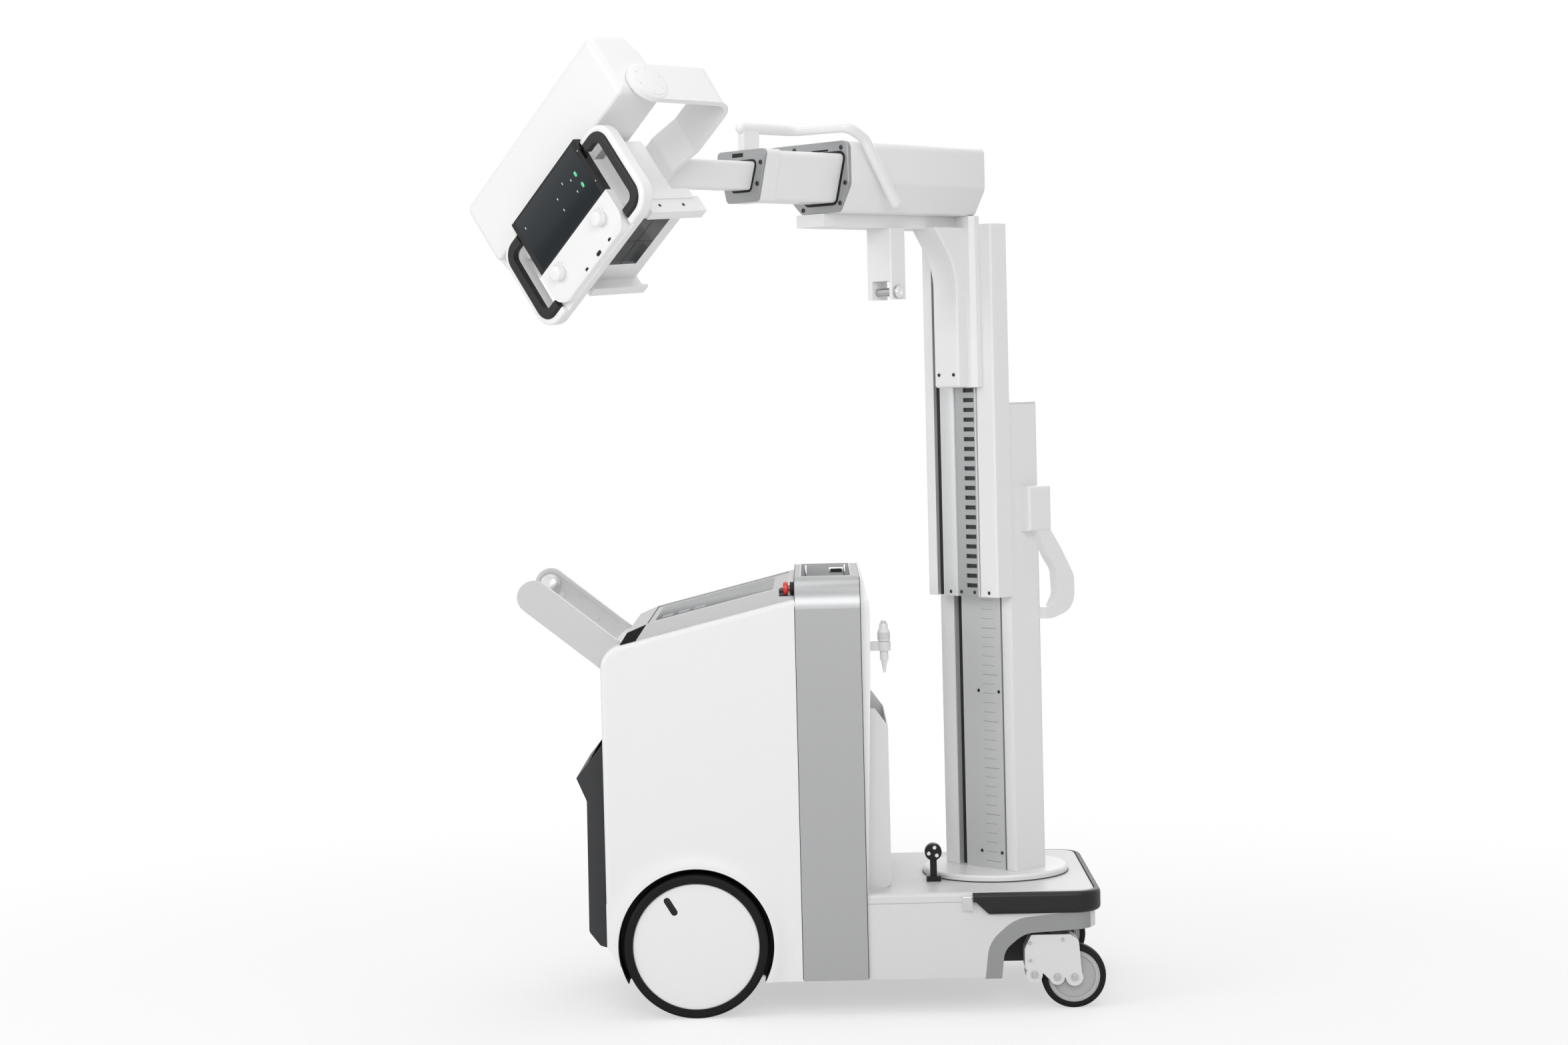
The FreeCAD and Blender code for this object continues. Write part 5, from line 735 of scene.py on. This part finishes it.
# Arm bracket, housing and tubes
# A cast bracket bolted to the stage carries the housing of a telescopic arm. Grey painted end frames with
# screws close the housing and the middle tube, and a black seal wipes each tube.

arm_white = finish("arm_white_paint", (0.81, 0.81, 0.81), 0.32, grain=0.06)
dress(["arm_bracket", "arm_housing", "mid_tube", "inner_tube", "latch_block", "grab_handle", "cable_guide"],
      arm_white)
frame_grey = finish("end_frame_grey", (0.34, 0.345, 0.35), 0.38, metal=0.35, grain=0.08)
dress(["arm_end_frame", "mid_end_frame"], frame_grey)
latch_steel = finish("latch_steel", (0.50, 0.50, 0.51), 0.22, metal=1.0)
dress(["latch_pawl"], latch_steel)


arm_middle = np.array([28.0, 1722.0])


def tube_outline(half_top, half_low, low, top, corner, grow):
    """Section of an arm tube, across and up, wider at the top and widened all round by grow."""
    middle = arm_middle[0]
    wide = half_top + grow
    narrow = half_low + grow
    return rounded([(middle - wide, top + grow, corner), (middle + wide, top + grow, corner),
                    (middle + narrow, low - grow, corner), (middle - narrow, low - grow, corner)])


def mid_outline(grow):
    """Section of the middle tube, widened all round."""
    return tube_outline(70, 42, 1674, 1771, 10, grow)


def seal(inner, x, wide, thick):
    """Ring round a tube: the tube's outline and the same drawn out, at two distances along X."""
    outer = drawn_in(inner, -wide)
    rings = [np.column_stack([np.full(len(inner), px), ring])
             for px, ring in ((x, inner), (x, outer), (x + thick, outer), (x + thick, inner), (x, inner))]
    return np.vstack(rings), lattice(5, len(inner), True), []


def spoked(outer, inner, middle):
    """Two outlines with as many points each: where rays from the middle, at the angles of all their corners,
    meet them. A ray meets an edge at the edge's start crossed with its run, over the ray crossed with it."""
    both = np.vstack([outer, inner]) - middle
    angle = np.unique(np.round(np.arctan2(both[:, 1], both[:, 0]), 5))
    way = np.stack([np.cos(angle), np.sin(angle)], -1)[:, None]
    found = []
    for outline in (outer, inner):
        start = outline - middle
        run = np.roll(start, -1, 0) - start
        turn = way[..., 0] * run[:, 1] - way[..., 1] * run[:, 0]
        turn = np.where(np.abs(turn) < 1e-9, 1e-9, turn)
        reach = (start[:, 0] * run[:, 1] - start[:, 1] * run[:, 0]) / turn
        share = (start[:, 0] * way[..., 1] - start[:, 1] * way[..., 0]) / turn
        reach = np.where((share > -1e-4) & (share < 1 + 1e-4) & (reach > 0), reach, 1e9).min(1)
        found.append(middle + way[:, 0] * reach[:, None])
    return found


def stacked(rings, around=False, caps=True):
    """Rings of (distance along X, outline) joined in order; around joins the last to the first."""
    points = [np.column_stack([np.full(len(line), x), line]) for x, line in rings]
    if around:
        points.append(points[0])
    count = len(points[0])
    ends = [np.arange(count)[::-1], np.arange(count) + count * (len(points) - 1)] if caps else []
    return np.vstack(points), lattice(len(points), count, True), ends


shell_back = 100.0
shell_front = 495.0
face_front = 505.0
shell_line = rounded([(-126.8, 1796.8, 16), (107.8, 1796.8, 16), (107.8, 1708, 30), (76, 1654.2, 12),
                      (-30, 1654.2, 12), (-126.8, 1745, 30)])
shell_out, shell_in = spoked(shell_line, mid_outline(0.5), arm_middle)
shell = stacked([(shell_back + 0.2, drawn_in(shell_out, 4.0)), (shell_back + 1.4, drawn_in(shell_out, 1.4)),
                 (shell_back + 4, shell_out), (shell_front - 0.6, shell_out),
                 (shell_front, drawn_in(shell_out, 0.5)), (shell_front, shell_in),
                 (shell_back + 8, shell_in)])
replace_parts(piece("arm_shell", shell, column_axes, "carriage", arm_white), "arm_housing")
shell_face = stacked([(shell_front + 0.1, shell_in), (shell_front + 0.1, drawn_in(shell_out, 0.4)),
                      (face_front - 1.2, drawn_in(shell_out, 0.1)), (face_front, drawn_in(shell_out, 1.2)),
                      (face_front, shell_in)], True, False)
shell_face = piece("arm_shell_face", shell_face, column_axes, "carriage", frame_grey)
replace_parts(shell_face, "arm_end_frame")

mid_end = 677.0
sleeve_front = 716.0
collar_front = 721.9
inner_line = tube_outline(42, 24, 1695, 1750, 7, 0.45)
collar_out, collar_in = spoked(mid_outline(2.9), inner_line, arm_middle)
collar_face = stacked([(sleeve_front + 0.2, collar_in), (sleeve_front + 0.2, drawn_in(collar_out, 0.3)),
                       (collar_front - 0.9, collar_out), (collar_front, drawn_in(collar_out, 0.9)),
                       (collar_front, collar_in)], True, False)
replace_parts(piece("mid_collar_face", collar_face, column_axes, "mid", frame_grey), "mid_end_frame")
sleeve_out, sleeve_in = spoked(mid_outline(2.9), mid_outline(0.3), arm_middle)
sleeve = stacked([(mid_end + 0.2, sleeve_in), (mid_end + 0.2, drawn_in(sleeve_out, 1.0)),
                  (mid_end + 1.6, sleeve_out), (sleeve_front, sleeve_out), (sleeve_front, sleeve_in)],
                 True, False)
piece("mid_collar_sleeve", sleeve, column_axes, "mid", arm_white)

housing_seal = seal(mid_outline(0.45), face_front, 5.0, 0.9)
piece("housing_seal", housing_seal, column_axes, "carriage", black_plastic_and_shade)
piece("mid_seal", seal(inner_line, collar_front, 4.0, 0.9), column_axes, "mid", black_plastic_and_shade)
# A thin black strip on the housing's end frame stands in for a gap: painted shade.
housing_gap_shade = strip(face_front, 4, 52, 1777.5, 1781.5, 0.4)
piece("housing_gap_shade", housing_gap_shade, column_axes, "carriage", black_plastic_and_shade)
# A thin black strip on the top of the collar's face stands in for a notch: painted shade.
collar_notch_shade = strip(collar_front, 3, 34, 1760.5, 1768.5, 0.4)
piece("collar_notch_shade", collar_notch_shade, column_axes, "mid", black_plastic_and_shade)
bracket_spots = [(147.0, y, 1322) for y in (6, 48)]
piece("bracket_screws", repeated(facing(small_bolt, "x"), bracket_spots), column_axes, "carriage", dark_screw)
frame_screw = socket_screw(key=1.9, seat=0.6, top=1.8, flat=4.0, wide=4.8, shoulder=1.0, foot=-0.4)
frame_screw = facing(frame_screw, "x")
housing_spots = [(face_front, y, z) for y, z in ((89, 1783), (99, 1712), (83, 1672), (-24, 1663), (-46, 1786),
                                                 (-112, 1784), (-112, 1742))]
piece("housing_screws", repeated(frame_screw, housing_spots), column_axes, "carriage", dark_screw)
collar_spots = [(collar_front, y, z) for y, z in ((84, 1747), (73, 1706), (-26, 1747), (-14, 1702))]
piece("collar_screws", repeated(frame_screw, collar_spots), column_axes, "mid", dark_screw)
disc_profile = [(0, 0.2), (5.5, 0.2), (6.2, 1.0), (8.6, 1.0), (9.4, 0.2), (12.4, 0.2), (12.4, -0.3),
                (0, -0.3)]
pawl_disc = moved(facing(turned(disc_profile, 40), "y"), (305, 48.0, 1496))
piece("pawl_disc_face", pawl_disc, column_axes, "pawl", chrome)


# Yoke
# A bent aluminium band in white paint. A round cap with a ring of small screws covers each pivot.

head_white = finish("head_white_paint", (0.81, 0.81, 0.81), 0.34, grain=0.08)
dress(["yoke", "head_cover", "tube_casing"], head_white)
yoke_face = 251
cap_profile = [(0, 3.0), (33, 3.0), (35, 2.8), (36, 1.6), (37, 1.5), (40.5, 1.5), (42, 0.8), (42.3, 0),
               (42.3, -0.3), (0, -0.3)]
pivot_cap = turned(cap_profile, 72)
cap_screw = turned([(0, 0.2), (0.8, 0.2), (0.8, 0.5), (1.7, 0.5), (1.9, 0.2), (1.9, -0.2), (0, -0.2)], 16)
cap_spots = [(29 * math.cos(a), 29 * math.sin(a), 3.0) for a in np.radians(np.arange(20, 380, 60))]
ring_of_screws = repeated(cap_screw, cap_spots)


def on_both_ends(shape):
    """The shape on the outer face of the yoke at both pivots."""
    return joined(moved(facing(shape, "x"), (yoke_face, 0, 0)),
                  moved(facing(shape, "-x"), (-yoke_face, 0, 0)))


piece("pivot_caps", on_both_ends(pivot_cap), yoke_axes, "yoke_body", head_white)
piece("pivot_cap_screws", on_both_ends(ring_of_screws), yoke_axes, "yoke_body", profile_silver)


# Collimator
# White beam limiter under the tube with a dark window, a cross line on it and two rails for filters.

dress(["collimator"], head_white)
window_glass = finish("window_dark_glass", (0.030, 0.031, 0.033), 0.10, coat=0.4)
dress(["exit_window"], window_glass)
line_grey = finish("cross_line_grey", (0.003, 0.003, 0.003), 0.5)


def under_plate(low_x, high_x, low_y, high_y, z, thick=0.3):
    """Thin plate under a face at one height."""
    return plate(oblong(low_x, high_x, low_y, high_y, 0, 2), z - thick, z, 0.08)


cross = joined(under_plate(-65, 65, 32.9, 34.1, -169.4), under_plate(-0.6, 0.6, -7, 74, -169.35))
piece("window_cross", cross, head_axes, "collimator_body", line_grey)
rail_screw = socket_screw(key=1.3, seat=0.2, top=0.9, flat=2.8, wide=3.3, shoulder=0.4, foot=-0.3)
rail_face = 118
rail_spots = [(0, y, -184) for y in (0, 60)]
rail_screws = joined(moved(repeated(facing(rail_screw, "x"), rail_spots), (rail_face, 0, 0)),
                     moved(repeated(facing(rail_screw, "-x"), rail_spots), (-rail_face, 0, 0)))
piece("rail_screws", rail_screws, head_axes, "collimator_body", dark_screw)


# Handle frame and panel
# A cast white frame with black rubber grips, and in its middle a white panel with a black touch display and
# two ribbed knobs. The frame turns with the collimator.

dress(["handle_ring"], head_white)
grip_black = finish("grip_rubber_black", (0.012, 0.012, 0.0125), 0.42, grain=0.2, gloss=0.3)
dress(["grips"], grip_black)
panel_white = finish("panel_white", (0.80, 0.80, 0.80), 0.36, grain=0.08)
dress(["control_panel"], panel_white)
dress(["display"], black_glass)
panel_face = -112.0
display_screen = on_wall(plate(oblong(-108, 108, -141, -26, 0, 2), 0, 0.2, 0.05), panel_face)
piece("display_screen", display_screen, head_axes, "collimator_body", screen_grey)


def on_panel(wide, high, x, z, y=panel_face, lean=0.0, thick=0.3):
    """Small rounded plate on the head's front, wide along X and high up, its face leaned down by an angle:
    up runs along (0, -sin, cos) and out along (0, -cos, -sin) of the angle."""
    corner = 0.475 * min(wide, high)
    flat = plate(oblong(-wide / 2, wide / 2, -high / 2, high / 2, corner, 5), 0, thick, thick / 4)
    across, rise, out = flat[0].T
    points = np.stack([x + across, y - out * math.cos(lean) - rise * math.sin(lean),
                       z + rise * math.cos(lean) - out * math.sin(lean)], -1)
    return points, flat[1], flat[2]


lit_green = finish("screen_mark_green", (0.10, 0.62, 0.30), 0.4)
lit_white = finish("screen_mark_white", (0.55, 0.57, 0.58), 0.4)
on_screen = panel_face - 0.2
green_marks = joined(on_panel(6, 11, 80, -71, on_screen), on_panel(6, 11, 82, -98, on_screen))
piece("display_green_marks", green_marks, head_axes, "collimator_body", lit_green)
mark_spots = ((63, -71), (63, -98), (41, -60), (12, -72), (12, -98), (-92, -52))
white_marks = [on_panel(2.4, 5, x, z, on_screen) for x, z in mark_spots]
bezel_marks = [on_panel(2.6, 2.6, 113, z) for z in (-44, -116)]
piece("display_white_marks", joined(*white_marks, *bezel_marks), head_axes, "collimator_body", lit_white)
# Three flat black ovals on the panel's lower edge stand in for its slots: painted shade.
edge_lean = math.atan2(2, 13)
slot_shades = [on_panel(wide, high, x, -216.5, -111.2, edge_lean, 0.4)
           for wide, high, x in ((9, 4.6, 67), (14, 7, 28.5), (9, 4.6, -16))]
piece("panel_slot_shades", joined(*slot_shades), head_axes, "collimator_body", black_plastic_and_shade)

knob_z = -174
knob_profile = [(0, 16.0), (10.5, 16.0), (12.6, 15.6), (13.8, 14.6), (14.3, 13.4), (14.3, 5.0), (15.0, 4.2),
                (15.0, 1.2), (14.4, 0.3), (5, 0.3), (5, -16), (0, -16)]
knob_white = finish("knob_white", (0.80, 0.80, 0.80), 0.28)


def ribbed_knob():
    """Knob turned from its profile; its side is drawn in by up to 2 percent, 32 times round."""
    points, quads, caps = turned(knob_profile, 96)
    swing = np.arctan2(points[:, 1], points[:, 0])
    on_side = (np.hypot(points[:, 0], points[:, 1]) > 13.5) & (points[:, 2] > 4.5)
    ribs = 1 - 0.02 * on_side * (0.5 - 0.5 * np.cos(32 * swing))
    return points * np.column_stack([ribs, ribs, np.ones(len(ribs))]), quads, caps


for side, knob_x, body in (("right", -76, "knob_a"), ("left", 76, "knob_b")):
    knob_shape = moved(facing(ribbed_knob(), "-y"), (knob_x, panel_face, knob_z))
    knob = piece("ribbed_knob_" + side, knob_shape, head_axes, body, knob_white)
    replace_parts(knob, "knob_" + side)
    dial = [on_panel(0.9, 3.2, knob_x + 19 * math.sin(a), knob_z + 19 * math.cos(a), thick=0.25)
            for a in np.radians(np.arange(-60, 61, 30))]
    piece("knob_dial_" + side, joined(*dial), head_axes, "collimator_body", mark_grey)
